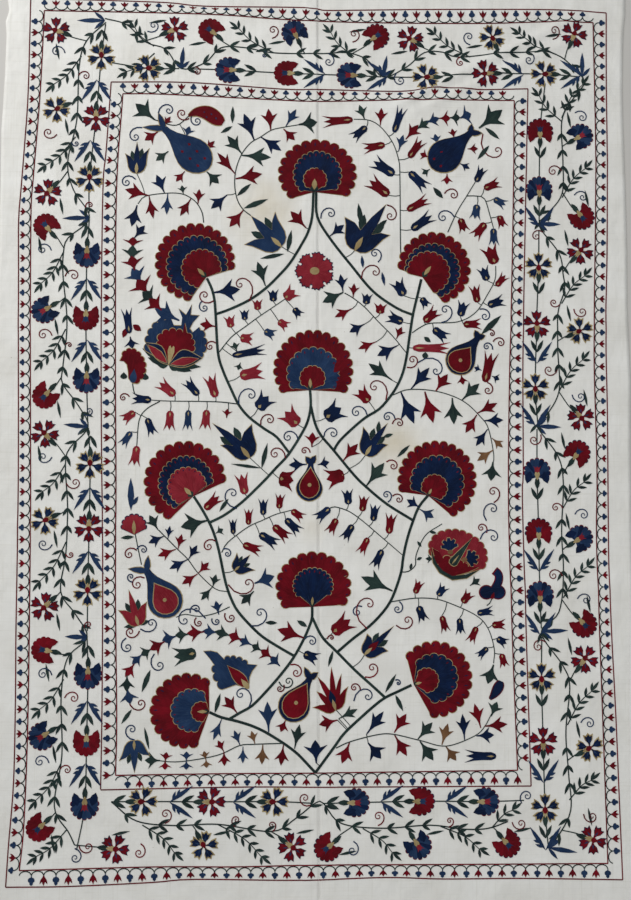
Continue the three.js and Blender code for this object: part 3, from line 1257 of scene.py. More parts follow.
# Bells: thread, base x and y, tip x and y, width.
BELLS = [
    (C, 78, 794, 0, 786, 27), (N, 113, 776, 76, 744, 26), (C, 160, 730, 103, 718, 26),
    (N, 184, 652, 128, 688, 34), (C, 170, 598, 118, 638, 36), (N, 183, 762, 205, 830, 24),
    (N, 393, 637, 412, 676, 24), (C, 414, 620, 455, 638, 26), (S, 439, 594, 470, 577, 24),
    (S, 396, 578, 389, 539, 26), (C, 352, 541, 364, 506, 26), (C, 417, 530, 386, 492, 28),
    (S, 437, 517, 438, 472, 24), (C, 452, 550, 463, 519, 24), (C, 221, 697, 256, 746, 26),
    (N, 222, 660, 268, 616, 30), (C, 216, 560, 272, 592, 26), (N, 227, 510, 282, 550, 30),
    (N, -478, 236, -487, 300, 24), (R, -226, 254, -232, 284, 26), (N, -192, 273, -194, 300, 22),
    (R, -203, 228, -171, 225, 30), (R, -160, 299, -162, 326, 24), (N, -121, 321, -123, 352, 26),
    (R, -93, 329, -66, 352, 36), (N, -70, 304, -52, 284, 24), (R, -108, 272, -84, 256, 26),
    (S, -143, 246, -116, 235, 26), (N, 112, 317, 115, 345, 26), (C, 147, 293, 149, 320, 30),
    (N, 205, 272, 165, 288, 30), (N, 208, 340, 187, 380, 34), (N, 252, 335, 268, 312, 24),
    (C, 258, 274, 294, 306, 30), (N, 281, 256, 318, 230, 28), (C, 358, 268, 404, 270, 26),
    (N, 350, 289, 361, 328, 28), (C, 395, 325, 386, 370, 26), (N, 421, 318, 464, 333, 28),
    (C, 441, 425, 422, 472, 40), (N, 420, 382, 407, 417, 28), (C, 443, 368, 468, 398, 22),
    (R, 229, 207, 326, 207, 27), (N, -421, 70, -470, 74, 26), (R, -363, 82, -404, 116, 30),
    (N, -305, 83, -338, 122, 26), (R, -262, 78, -280, 135, 30), (R, -374, 44, -376, -6, 26),
    (S, -329, 46, -331, -5, 22), (R, -284, 47, -288, -3, 26), (R, -461, 40, -492, 18, 26),
    (N, -431, 25, -414, -18, 24), (S, -469, -9, -492, -44, 22), (R, -454, -44, -461, -94, 26),
    (N, -223, 183, -138, 200, 24), (R, -203, 132, -144, 146, 38), (N, -158, 50, -130, 84, 44),
    (R, -57, 11, -92, 46, 46), (C, -104, -122, -66, -128, 50), (C, 58, -112, 12, -125, 46),
    (N, 10, 28, 52, 56, 50), (C, 120, 70, 92, 102, 36), (C, 412, 122, 430, 200, 32),
    (C, -286, -199, -249, -165, 28), (R, -187, -162, -198, -110, 30), (N, -215, -260, -217, -222, 18),
    (C, -178, -237, -178, -197, 20), (N, -142, -213, -142, -172, 22), (C, -103, -197, -100, -160, 22),
    (C, -72, -201, -42, -222, 24), (N, -87, -222, -50, -257, 26), (C, -117, -239, -77, -272, 28),
    (N, -151, -259, -104, -287, 28), (C, -191, -285, -145, -302, 26), (N, 23, -195, -13, -224, 26),
    (N, 69, -186, 65, -148, 26), (C, 103, -203, 108, -163, 24), (N, 130, -227, 136, -185, 24),
    (C, 40, -221, 20, -258, 24), (N, 80, -236, 56, -274, 24), (C, 118, -268, 97, -308, 22),
    (N, 153, -297, 131, -342, 24), (C, 169, -258, 176, -207, 26), (C, 233, -404, 247, -372, 22),
    (N, 290, -410, 308, -384, 24), (C, 351, -427, 372, -400, 26), (N, 242, -435, 257, -474, 26),
    (C, 300, -459, 311, -500, 22), (N, 344, -465, 347, -505, 22), (C, 387, -486, 369, -525, 22),
    (N, 388, -453, 429, -446, 22), (C, 425, -482, 459, -480, 24), (N, 437, -514, 462, -528, 24),
    (N, 414, -537, 388, -560, 20), (C, 448, -552, 456, -585, 22), (G, -302, -548, -358, -558, 40),
    (C, 30, -500, 76, -466, 44), (N, -40, -550, -4, -565, 30), (N, 433, -799, 355, -798, 27),
]

# Leaves: thread, base x and y, tip x and y, width.
LEAVES = [
    (G, -229, 778, -228, 822, 11), (G, -229, 770, -258, 752, 10), (G, -215, 590, -180, 622, 12),
    (G, -198, 558, -137, 583, 14), (G, 428, 733, 397, 695, 12), (G, 418, 780, 455, 750, 12),
    (G, 308, 593, 283, 621, 14), (G, -87, 448, -77, 504, 13), (G, -95, 443, -155, 430, 11),
    (S, 104, 410, 101, 442, 9), (S, 152, 400, 159, 365, 9), (G, 403, 243, 455, 293, 16),
    (C, -470, 258, -449, 243, 16), (C, -485, 250, -494, 225, 14), (G, -147, -98, -133, -35, 12),
    (G, -148, -97, -223, -87, 8), (G, 190, -68, 222, -37, 10), (S, -466, -203, -468, -123, 16),
    (S, -462, -190, -449, -168, 10), (G, -457, -267, -490, -270, 10), (G, -228, -173, -250, -205, 10),
    (G, -412, -588, -432, -642, 13), (G, -455, -682, -480, -717, 10), (G, -255, -692, -242, -645, 11),
    (G, -424, -725, -412, -778, 8), (G, -135, -475, -105, -476, 10), (G, -32, -485, -57, -470, 12),
    (G, 32, -543, 20, -582, 9), (G, 160, -645, 187, -600, 10), (G, 185, -650, 204, -690, 11),
    (G, 258, 235, 275, 222, 12), (G, 262, 197, 260, 178, 16), (G, 100, 520, 92, 576, 14),
    (G, 140, 512, 165, 535, 12), (G, 142, -10, 145, 22, 12), (G, 155, -18, 180, -10, 10),
    (G, -443, -480, -478, -486, 12), (G, -443, -480, -416, -470, 12), (G, 222, -346, 226, -330, 8),
    (G, 238, -322, 252, -316, 8), (G, 250, -290, 240, -276, 8), (G, 270, -252, 288, -256, 8),
]

# Tendrils: thread, root x and y, centre x and y, and which way they wind (1 to the left).
CURLS = [
    (S, -416, 800, -390, 808, -1), (S, -456, 762, -472, 738, 1), (S, -325, 803, -318, 782, 1),
    (C, -338, 788, -356, 801, -1), (S, -470, 628, -492, 620, 1), (S, -3, 535, 22, 548, -1),
    (C, 165, 573, 173, 545, -1), (C, 412, 763, 449, 721, 1), (C, 312, 605, 335, 602, -1),
    (S, 337, 545, 308, 543, 1), (C, -182, 322, -205, 363, 1), (C, -270, 321, -293, 335, -1),
    (S, -299, 320, -293, 303, 1), (C, -263, 214, -278, 205, 1), (S, 142, 425, 134, 447, 1),
    (C, 100, 382, 135, 399, -1), (S, 302, 272, 312, 305, 1), (S, 400, 308, 413, 290, -1),
    (C, 425, 255, 430, 245, -1), (S, 432, 205, 417, 212, 1), (C, 433, 225, 452, 222, -1),
    (C, -475, 78, -490, 75, 1), (S, -205, 62, -175, 84, -1), (C, -150, 10, -128, 23, -1),
    (S, -57, -25, -82, -20, 1), (C, -88, -72, -114, -62, 1), (C, -27, -58, -41, -54, 1),
    (S, 7, -18, 30, -10, -1), (S, 115, 37, 88, 43, 1), (C, 162, 75, 133, 107, 1),
    (C, 215, 158, 229, 177, 1), (S, 242, 170, 288, 150, -1), (C, 418, 122, 419, 102, -1),
    (S, 185, 28, 166, 32, 1), (C, 178, 15, 196, 17, -1), (C, 163, -80, 180, -90, -1),
    (C, -450, -300, -468, -310, 1), (S, -450, -297, -434, -299, -1), (S, -207, -197, -217, -160, -1),
    (C, -258, -277, -275, -290, 1), (S, -240, -297, -229, -308, -1), (C, -226, -383, -178, -379, 1),
    (C, -430, -367, -447, -383, 1), (S, -458, -377, -463, -364, -1), (S, -318, -452, -303, -443, -1),
    (C, 115, -490, 121, -431, -1), (S, 103, -436, 91, -450, 1), (S, -170, -483, -148, -452, 1),
    (S, 167, -180, 163, -162, 1), (C, 178, -165, 194, -173, -1), (C, 432, -180, 430, -153, 1),
    (S, 413, -225, 430, -196, -1), (C, 413, -255, 400, -243, 1), (S, 397, -271, 430, -266, -1),
    (S, 195, -424, 190, -442, -1), (S, -438, -490, -412, -476, 1), (C, -440, -495, -462, -497, -1),
    (S, -472, -512, -468, -534, 1), (S, -403, -550, -390, -577, 1), (C, -463, -660, -434, -668, 1),
    (S, -172, -678, -193, -648, 1), (S, -447, -755, -454, -730, -1), (S, -280, -465, -331, -470, 1),
    (C, -303, -463, -296, -476, 1), (S, -265, -465, -253, -472, 1), (C, -233, -452, -218, -463, 1),
    (S, -38, -515, -20, -521, -1), (C, -72, -577, -58, -596, -1), (G, -100, -618, -77, -617, 1),
    (C, -88, -625, -98, -634, -1), (S, 83, -665, 117, -654, -1), (C, 99, -640, 84, -633, 1),
    (C, 110, -607, 128, -585, 1), (C, 187, -482, 215, -470, 1), (S, 185, -615, 192, -622, -1),
    (C, 18, -515, 28, -512, -1),
]

DROPS = [
    Drop(S, (-322, 690), (43, 47), (-400, 760), ((-416, 802), (-455, 763)), spots=6),
    Drop(N, (310, 700), (42, 42), (380, 765), ((383, 788), (410, 765)), spots=4),
    Drop(N, (350, 177), (37, 37), (395, 235), ((387, 253), (413, 240)), (C, 30, 30)),
    Drop(N, (-28, -138), (32, 40), (-25, -85), ((-38, -68), (-13, -65)), (C, 24, 32)),
    Drop(S, (-380, -420), (42, 45), (-425, -350), ((-422, -313), (-470, -345)), (R, 30, 35)),
    Drop(N, (-58, -668), (38, 48), (-25, -610), ((-38, -583), (-5, -596)), (C, 30, 39)),
]

LILIES = [
    Lily(N, (-468, 645), [(-496, 692), (-468, 722), (-438, 706)]),
    Lily(S, (-104, 463), [(-193, 465), (-178, 538), (-118, 548)]),
    Lily(N, (85, 457), [(58, 538), (162, 573), (171, 494)]),
    Lily(N, (-178, -70), [(-268, 12), (-172, 10), (-247, -42)]),
    Lily(N, (112, -62), [(105, 5), (165, 15), (165, -38)]),
    Lily(N, (-210, -348), [(-206, -308), (-175, -312), (-163, -348)]),
    Lily(R, (-443, -480), [(-467, -398), (-490, -447), (-424, -427)]),
    Lily(S, (-448, -758), [(-482, -802), (-446, -830), (-410, -790)]),
    Lily(N, (110, -552), [(115, -505), (180, -485), (165, -545)], C),
    Lily(C, (38, -684), [(-15, -680), (-6, -643), (-5, -608), (28, -585), (52, -602), (68, -632)], N),
]


def nearest_stem(point: Vector, lines: Iterable[Sequence[Vector]]) -> Vector:
    """The nearest place to a point on any of several stems."""
    return min((nearest_on(line, point) for line in lines), key=lambda place: (place - point).length)


def round_end(share: float) -> float:
    """Relative width of a curved drop: a round head that tapers to its tip."""
    return math.sin(math.pi * (0.03 + 0.95 * share)) ** 0.55 * (1 - 0.62 * share)


@dataclass
class OddFlowers:
    """The field's single flowers: two palmettes, a cockscomb and a few curved shapes."""

    def sew(self, work: Work) -> None:
        """Lays them all.

        Args:
            work: The area that is sewn.
        """
        self.sew_tall_palmette(work)
        self.sew_round_palmette(work)
        self.sew_side_flower(work)
        self.sew_cockscomb(work)
        self.sew_bent_shapes(work)

    def edge(self, work: Work, thread: Thread, outline: Outline, grain: float, layer: int) -> None:
        """Fills an outline over a slightly larger one in straw.

        Args:
            work: The field.
            thread: The thread.
            outline: The shape.
            grain: Direction of its stitches.
            layer: How many layers of thread lie below.
        """
        middle = sum((Vector(point) for point in outline), Vector((0, 0))) / len(outline)
        wider = []
        for point in outline:
            out = Vector(point) - middle
            wider.append(tuple(Vector(point) + out.normalized() * RIM_WIDTH))
        work[W].patch(wider, grain, layer)
        work[thread].patch(outline, grain, layer + 1)

    def sew_tall_palmette(self, work: Work) -> None:
        """Lays the slate palmette with three horns, at the left of the field.

        Args:
            work: The area that is sewn.
        """
        base = (-380, 159)
        for tips in (((-446, 199), (-432, 176), (-408, 158)), ((-299, 154), (-322, 143), (-352, 146))):
            for tip in tips:
                work[G].patch(mirrored(base, tip, 20, LEAF_SIDE), heading(base, tip), 0)
        horns = [(-368, 257), (-350, 257), (-348, 278), (-357, 299), (-339, 284), (-325, 310), (-327, 284),
                 (-306, 283), (-322, 264), (-329, 250), (-322, 240), (-306, 254)]
        left = scalloped([(-432, 190), (-434, 212), (-430, 232), (-421, 250), (-408, 264), (-392, 270)], 0.34)
        right = scalloped([(-302, 246), (-294, 228), (-291, 208), (-296, 190), (-304, 176)], 0.34)
        self.edge(work, S, [base, *left, (-377, 278), *horns, *right], 1.5, 1)
        core = scalloped([(-400, 200), (-405, 219), (-396, 236), (-380, 243), (-362, 243), (-346, 240)], 0.4)
        low = scalloped([(-334, 238), (-325, 224), (-320, 208), (-322, 192)], 0.36)
        core += [(-341, 264), (-336, 240), *low]
        self.edge(work, C, [base, *core], 1.5, 3)
        for tip, bow, side in (((-437, 213), (-398, 204), 1), ((-297, 176), (-345, 196), -1)):
            sepal = smooth_line([base, bow, tip], 9)
            lower = smooth_line([tip, between(base, tip, 0.55 - 0.05 * side), base], 9)
            low = [tuple(point + Vector((0, -14 * math.sin(math.pi * i / (len(lower) - 1)))))
                   for i, point in enumerate(lower)]
            self.edge(work, N, [tuple(point) for point in sepal] + low[1:-1], heading(base, tip), 5)
            self.edge(work, R, mirrored(between(base, tip, 0.06), between(base, tip, 0.9), 20, LEAF_SIDE),
                      heading(base, tip), 7)
        work[W].patch(mirrored((-379, 160), (-372, 206), 17, HEART_SIDE), 1.4, 9)

    def sew_round_palmette(self, work: Work) -> None:
        """Lays the rose palmette with trefoils, at the right of the field.

        Args:
            work: The area that is sewn.
        """
        base = (328, -364)
        sepal = [(274, -298), (279, -330), (295, -354), (326, -371), (362, -367), (394, -346), (360, -358),
                 (326, -361), (303, -348), (288, -330)]
        crown = scalloped([(277, -312), (272, -294), (277, -274), (291, -260), (309, -253), (327, -251),
                           (345, -252), (362, -258), (378, -266), (393, -277), (405, -292), (410, -310),
                           (409, -328), (398, -344)], 0.3)
        self.edge(work, R, [base, (290, -338), *crown], 1.2, 1)
        for middle, turn in (((320, -288), 1.7), ((372, -318), 0.2)):
            trefoil = []
            for lobe in range(5):
                trefoil += [polar(middle, turn + (lobe - 2 + share) * 0.78, 21 * reach)
                            for share, reach in ((-0.48, 0.66), (-0.22, 0.98), (0.22, 0.98), (0.48, 0.66))]
            self.edge(work, N, [polar(middle, turn + math.pi, 13), *trefoil], turn, 3)
            work[O].patch(ring(polar(middle, turn + math.pi, 15), 7, 6, 10), 0.2, 7)
        petals = scalloped([(328, -362), (306, -352), (292, -332), (282, -312)], 0.26)
        petals += [(277, -292), (294, -302), *scalloped([(304, -318), (322, -316), (338, -324), (354, -330),
                                                         (366, -338)], 0.3), (392, -340)]
        self.edge(work, C, [*petals, (366, -352)], 0.4, 5)
        self.edge(work, G, mirrored((324, -334), (376, -268), 22, BLADE_SIDE), 0.9, 7)
        work[W].patch(mirrored((324, -334), (345, -308), 5, SMALL_LEAF_SIDE), 0.9, 9)
        self.edge(work, G, sepal, 0.1, 7)

    def sew_side_flower(self, work: Work) -> None:
        """Lays the slate flower that opens to the left, at the foot of the field.

        Args:
            work: The area that is sewn.
        """
        base = (-174, -633)
        left = scalloped([(-233, -634), (-248, -616), (-256, -596), (-257, -577)], 0.36)
        top = scalloped([(-233, -564), (-219, -560), (-205, -562), (-190, -567), (-178, -575)], 0.42)
        tail = [(-268, -562), (-284, -544), (-266, -543), (-250, -547)]
        self.edge(work, S, [base, (-205, -624), *left, *tail, *top, (-154, -577), (-166, -592), (-172, -606)],
                  2.4, 1)
        self.edge(work, C, mirrored((-177, -628), (-226, -578), 26, DROP_HEART), 2.4, 3)
        work[W].patch(mirrored((-173, -634), (-193, -609), 13, DROP_HEART), 2.4, 5)

    def sew_cockscomb(self, work: Work) -> None:
        """Lays the crimson cockscomb at the left edge and its two green leaves.

        Args:
            work: The area that is sewn.
        """
        base = (-468, 112)
        comb = scalloped([(-494, 180), (-485, 192), (-472, 196), (-459, 190), (-449, 179), (-442, 166),
                          (-439, 151), (-442, 136), (-450, 122), (-462, 112)], 0.32)
        self.edge(work, C, [base, (-478, 124), (-479, 142), (-482, 158), (-490, 166), (-500, 167), *comb],
                  1.5, 1)
        work[S].patch(mirrored(base, (-464, 148), 18, DROP_HEART), 1.5, 3)
        work[G].ribbon(smooth_line([(-468, 112), (-466, 98), (-462, 84)], 7), lambda share: 2.6, 0)
        for middle in ((-490, 122), (-437, 120)):
            work[G].patch(mirrored(middle, (middle[0], middle[1] + 17), 17, DROP_HEART), 1.5, 1)

    def sew_bent_shapes(self, work: Work) -> None:
        """Lays the half fan, the curved drop and the lobed shape at the right edge.

        Args:
            work: The area that is sewn.
        """
        for grow, thread, layer in ((2.4, N, 1), (0.0, R, 2)):
            reach = 30 + grow
            work[thread].patch(scallops((-457, -262), (-458, -242), reach, reach, -15, 195, 8), 1.6, layer)
        work[W].patch(mirrored((-457, -262), (-458, -226), 10, LEAF_SIDE), 1.6, 3)
        work[G].ribbon(smooth_line([(-455, -258), (-446, -300), (-438, -335)]), lambda share: 2.5, 0)
        boteh = smooth_line([(-252, 778), (-268, 788), (-292, 803), (-318, 805), (-340, 795)], 3)
        for grow, thread, layer in ((RIM_WIDTH, W, 1), (0.0, C, 3)):
            work[thread].ribbon(boteh, lambda share: 50 * round_end(share) + 2 * grow, layer)
        for i, spot in enumerate(((-268, 786), (-280, 797), (-292, 790), (-298, 803))):
            work[S].patch(mirrored(spot, (spot[0] - 4, spot[1] + 7 - i), 5, SMALL_LEAF_SIDE), 1.0, 4)
        for grow, thread, layer in ((2.2, C, 1), (0.0, N, 3)):
            for middle in ((411, -401), (440, -401)):
                work[thread].patch(ring(middle, 17 + grow, 16 + grow, 20), 0.2, layer)
            neck = smooth_line([(428, -398), (441, -376), (442, -358), (434 - grow, -350 + grow)], 5)
            work[thread].ribbon(neck, lambda share: 17 + 2 * grow, layer)
            small = smooth_line([(446, -618), (440, -632), (430, -648), (418, -662)], 3)
            work[thread].ribbon(small, lambda share: 30 * round_end(share) + 2 * grow, layer)
        work[C].patch(mirrored((424, -418), (430, -400), 9, DROP_HEART), 1.5, 4)
        work[G].ribbon(smooth_line([(424, -418), (419, -428), (412, -434)], 7), lambda share: 2.6, 0)


def sew_field() -> Work:
    """Sews the field inside the inner frame.

    Returns:
        The field's canvases.
    """
    work = Work("field")
    vines = [smooth_line(points, 12) for points in VINES]
    stems = [smooth_line(points, 9) for points in STEMS]
    for line in vines:
        work[G].ribbon(line, lambda share: 6.6, 0)
    for line in stems:
        work[G].ribbon(line, lambda share: 2.7 - 0.6 * share, 0)
    joined = [*vines, *stems]
    heads = [(row[1:3], LONGEST_JOIN) for row in (*BUDS, *BELLS)]
    heads += [(lily.base, LILY_JOIN) for lily in LILIES]
    for base, longest in heads:
        place = nearest_stem(Vector(base), joined)
        gap = (place - Vector(base)).length
        if longest * SHORTEST_JOIN < gap < longest:
            bend = (place + Vector(base)) / 2 + Vector((gap * 0.06, -gap * 0.06))
            work[G].ribbon(smooth_line([tuple(place), tuple(bend), base], 9), lambda share: 1.9, 0)
    for chain in zip(ARROWS, ARROWS[1:]):
        start, end = (row[1:3] for row in chain)
        if math.dist(start, end) < CHAIN_GAP:
            work[G].ribbon(smooth_line([start, end], 9), lambda share: 1.9, 0)
    for thread, *place in BUDS:
        Bud(thread, tuple(place[0:2]), tuple(place[2:4]), place[4]).sew(work)
    for thread, *place in BELLS:
        Bell(thread, tuple(place[0:2]), tuple(place[2:4]), place[4]).sew(work)
    for thread, *place in LEAVES:
        Leaf(thread, tuple(place[0:2]), tuple(place[2:4]), place[4]).sew(work)
    for thread, *place in CURLS:
        Curl(thread, tuple(place[0:2]), tuple(place[2:4]), place[4]).sew(work)
    for thread, x, y, *prongs in ARROWS:
        first, second = tuple(prongs[0:2]), tuple(prongs[2:4])
        tip = between((x, y), between(first, second, 0.5), 1.3)
        Bud(thread, (x, y), tip, math.dist(first, second) * 1.08).sew(work)
    for motif in (*FANS, *DROPS, *LILIES, Rosette((-18, 400), 47, 7, 12), OddFlowers()):
        motif.sew(work)
    return work


SHORTEST_JOIN = 0.15
LONGEST_JOIN = 40.0
LILY_JOIN = 75.0
BLADE_SIDE = [(0, 0), (0.02, 0.7), (0.1, 1.0), (0.4, 0.7), (1.0, 0)]
CHAIN_GAP = 60.0

# The two border frames: for each side, the outer line and the inner line.
FRAME_SIDES = [
    FrameSide([(-743, 1093), (-743, 850), (-748, 720), (-754, 600), (-758, 520), (-755, 400),
               (-750, 200), (-742, -100), (-739, -300), (-737, -500), (-734, -650), (-733, -850),
               (-741, -1000), (-745, -1096)],
              [(-708, 1062), (-713, 850), (-725, 620), (-728, 550), (-724, 330), (-718, 100),
               (-711, -150), (-708, -300), (-703, -700), (-706, -950), (-714, -1058)]),
    FrameSide([(-743, 1093), (-600, 1093), (-400, 1091), (-300, 1084), (-50, 1087), (0, 1081),
               (100, 1084), (300, 1091), (600, 1098), (738, 1093)],
              [(-708, 1062), (-300, 1063), (-100, 1054), (100, 1051), (400, 1056), (600, 1066), (703, 1066)]),
    FrameSide([(738, 1093), (735, 900), (734, 700), (729, 450), (722, 250), (723, 50), (720, -330),
               (724, -500), (731, -700), (736, -900), (741, -1096)],
              [(703, 1066), (704, 700), (695, 350), (691, 200), (694, -100), (690, -280), (696, -600),
               (701, -850), (705, -1057)]),
    FrameSide([(-745, -1096), (-600, -1096), (-400, -1089), (-300, -1083), (-50, -1088), (160, -1084),
               (300, -1089), (500, -1090), (741, -1096)],
              [(-714, -1058), (-400, -1053), (-200, -1055), (0, -1053), (300, -1055), (705, -1057)]),
    FrameSide([(-536, 879), (-545, 700), (-551, 600), (-548, 250), (-541, -50), (-533, -300),
               (-527, -650), (-526, -871)],
              [(-506, 849), (-517, 600), (-512, 200), (-504, -130), (-500, -400), (-491, -700),
               (-491, -838)]),
    FrameSide([(-536, 879), (-340, 882), (-100, 870), (0, 871), (200, 871), (300, 883), (400, 880),
               (530, 885)],
              [(-506, 849), (-400, 850), (-100, 841), (0, 840), (250, 850), (494, 853)]),
    FrameSide([(530, 885), (521, 600), (513, 330), (509, 180), (507, -100), (504, -170), (510, -500),
               (518, -871)],
              [(494, 853), (489, 600), (482, 350), (475, 150), (469, -180), (475, -500), (485, -833)]),
    FrameSide([(-526, -872), (-200, -868), (50, -870), (518, -871)],
              [(-491, -838), (-236, -836), (0, -836), (485, -833)]),
]

DOWN, LEFTWARD, UP, RIGHTWARD = -math.pi / 2, math.pi, math.pi / 2, 0.0
# Border flowers, row by row: the way that they face, then kind and middle of each.
FLOWER_ROWS = [
    (DOWN, [(ST, -562, 945), (PR, -572, 785), (ST, -585, 628), (CB, -587, 435), (CR, -586, 275),
            (CB, -581, 120), (ST, -568, -90), (PR, -567, -245), (ST, -567, -400), (CB, -562, -600),
            (CR, -562, -760), (CB, -563, -908),
            (PR, -677, 1010), (ST, -672, 805), (PR, -688, 590), (CR, -690, 505), (CB, -688, 292),
            (CR, -682, 78), (PR, -680, -15), (ST, -675, -228), (PR, -670, -437), (CR, -668, -540),
            (CB, -668, -745), (CR, -670, -960)]),
    (LEFTWARD, [(ST, -445, 917), (CB, -240, 917), (CR, -92, 912), (CB, 70, 910), (ST, 265, 910),
                (PR, 420, 922), (ST, 572, 925),
                (PR, -378, 1020), (CR, -287, 1020), (CB, -73, 1020), (CR, 138, 1015), (PR, 225, 1010),
                (ST, 438, 1020), (PR, 652, 1032)]),
    (UP, [(CR, 560, 773), (CB, 556, 620), (ST, 552, 420), (PR, 545, 270), (ST, 540, 110),
          (CB, 542, -102), (CR, 544, -252), (CB, 545, -408), (ST, 547, -610), (PR, 549, -765),
          (ST, 552, -925),
          (CB, 665, 762), (CR, 665, 550), (PR, 660, 462), (ST, 655, 255), (PR, 655, 35),
          (CR, 645, -55), (CB, 648, -268), (CR, 655, -480), (PR, 655, -565), (ST, 665, -780),
          (PR, 668, -1000)]),
    (RIGHTWARD, [(ST, -425, -900), (PR, -262, -902), (ST, -110, -903), (CB, 88, -907),
                 (CR, 247, -905), (CB, 405, -907),
                 (PR, -490, -1010), (ST, -277, -1005), (PR, -65, -1010), (CR, 20, -1012),
                 (CB, 240, -1010), (CR, 458, -1008)]),
]

# Straight stems of the inner rows: points, and the flowers' rows that they thread.
STRAIGHT_STEMS = [
    [(-553, 1030), (-562, 945), (-572, 785), (-585, 628), (-584, 540)],
    [(-583, 525), (-587, 435), (-586, 275), (-581, 120), (-576, 15)],
    [(-574, 0), (-568, -90), (-567, -245), (-567, -400), (-566, -495)],
    [(-566, -512), (-562, -600), (-562, -760), (-563, -908), (-580, -1012)],
    [(-365, 918), (-445, 917), (-540, 930)],
    [(150, 908), (70, 910), (-92, 912), (-240, 917), (-340, 918)],
    [(665, 920), (572, 925), (420, 922), (265, 910), (165, 908)],
    [(555, 535), (556, 620), (560, 773), (575, 900)],
    [(545, 18), (540, 110), (545, 270), (552, 420), (554, 515)],
    [(548, -490), (545, -408), (544, -252), (542, -102), (543, 5)],
    [(558, -1010), (552, -925), (549, -765), (547, -610), (549, -510)],
    [(-500, -900), (-425, -900), (-262, -902), (-110, -903), (-20, -907)],
    [(10, -908), (88, -907), (247, -905), (405, -907), (500, -905)],
]

BORDER_VINES = [
    [(-552, 1035), (-600, 985), (-617, 920), (-620, 780), (-640, 670), (-625, 600), (-583, 528),
     (-635, 475), (-645, 440), (-645, 380), (-632, 260), (-640, 150), (-640, 110), (-600, 55),
     (-575, 2), (-618, -50), (-628, -90), (-620, -200), (-622, -310), (-632, -400), (-595, -455),
     (-566, -510), (-612, -560), (-625, -650), (-620, -790), (-635, -910), (-600, -970), (-585, -1000)],
    [(-555, 1045), (-500, 1030), (-450, 985), (-400, 968), (-360, 918), (-300, 935), (-260, 975),
     (-200, 977), (-125, 965), (0, 966), (60, 970), (113, 953), (155, 908), (215, 935), (262, 975),
     (310, 977), (350, 965), (460, 977), (590, 982), (650, 945), (672, 920)],
    [(672, 920), (680, 905), (640, 850), (617, 800), (618, 700), (615, 610), (575, 555), (555, 525),
     (605, 455), (615, 400), (618, 360), (600, 300), (598, 210), (600, 100), (560, 30), (543, 12),
     (595, -62), (608, -130), (602, -250), (605, -350), (592, -450), (548, -500), (600, -580),
     (617, -630), (606, -740), (611, -840), (615, -930), (580, -995), (558, -1015)],
    [(-500, -900), (-440, -945), (-350, -957), (-245, -955), (-115, -973), (-60, -945), (-10, -907),
     (10, -908), (52, -955), (150, -968), (270, -962), (350, -972), (410, -971), (460, -955)],
]

SPRIGS = [
    ((-428, 957), (-522, 890)),
    ((-612, 945), (-700, 848)), ((-622, 735), (-716, 640)), ((-645, 440), (-715, 335)),
    ((-635, 245), (-710, 140)), ((-628, -90), (-700, -180)), ((-622, -280), (-700, -400)),
    ((-620, -610), (-695, -705)), ((-622, -810), (-697, -920)), ((-605, -965), (-698, -1045)),
    ((-430, 975), (-500, 1045)), ((-125, 965), (-240, 1045)), ((80, 960), (0, 1045)),
    ((380, 966), (265, 1042)), ((590, 982), (485, 1048)), ((617, 810), (690, 925)),
    ((617, 800), (540, 890)), ((615, 600), (695, 700)), ((610, 325), (690, 420)),
    ((600, 100), (680, 205)), ((605, -195), (680, -105)), ((603, -415), (685, -315)),
    ((610, -725), (690, -620)), ((612, -905), (690, -840)), ((-425, -955), (-325, -1040)),
    ((-245, -955), (-115, -1050)), ((105, -968), (200, -1045)), ((295, -965), (415, -1035)),
    ((420, -970), (495, -910)),
]

# Places of the border's crimson and slate tendrils.
BORDER_CURLS = [
    (C, -600, 893), (S, -675, 955), (C, -690, 745), (S, -620, 718), (C, -582, 560), (S, -697, 445),
    (C, -618, 380), (C, -690, 230), (C, -625, 205), (S, -573, 42), (S, -683, -72), (C, -603, -135),
    (S, -677, -285), (C, -610, -310), (C, -563, -480), (S, -670, -598), (C, -595, -655),
    (S, -672, -805), (C, -607, -825), (C, -553, -1005), (S, -583, -1030), (S, -432, 1030),
    (C, -320, 910), (C, -128, 1025), (S, -150, 958), (C, 80, 1020), (S, 15, 945), (S, 200, 900),
    (S, 378, 1020), (C, 355, 950), (S, 532, 960), (C, 600, 1040), (S, 670, 812), (C, 592, 668),
    (S, 668, 602), (C, 548, 498), (C, 590, 328), (C, 662, 305), (C, 575, 155), (S, 655, 88),
    (C, 535, -22), (C, 588, -192), (S, 658, -210), (C, 580, -360), (S, 660, -420), (C, 540, -535),
    (S, 665, -722), (C, 668, -945), (S, 508, -895), (C, 492, -960), (C, -432, -1020),
    (C, -370, -930), (C, -200, -945), (C, -115, -958), (C, -35, -895), (C, 143, -940),
    (S, 80, -1020), (C, 317, -952),
]

# Slate leaves where the vines turn.
TURN_LEAVES = [
    ((-555, 1040), (-625, 1038)), ((-583, 528), (-650, 525)), ((-575, 2), (-635, 8)),
    ((-566, -510), (-620, -508)), ((-360, 918), (-355, 975)), ((155, 908), (165, 965)),
    ((672, 920), (673, 985)), ((555, 530), (610, 530)), ((543, 12), (605, 10)),
    ((550, -498), (615, -495)), ((558, -1018), (630, -1030)),
]


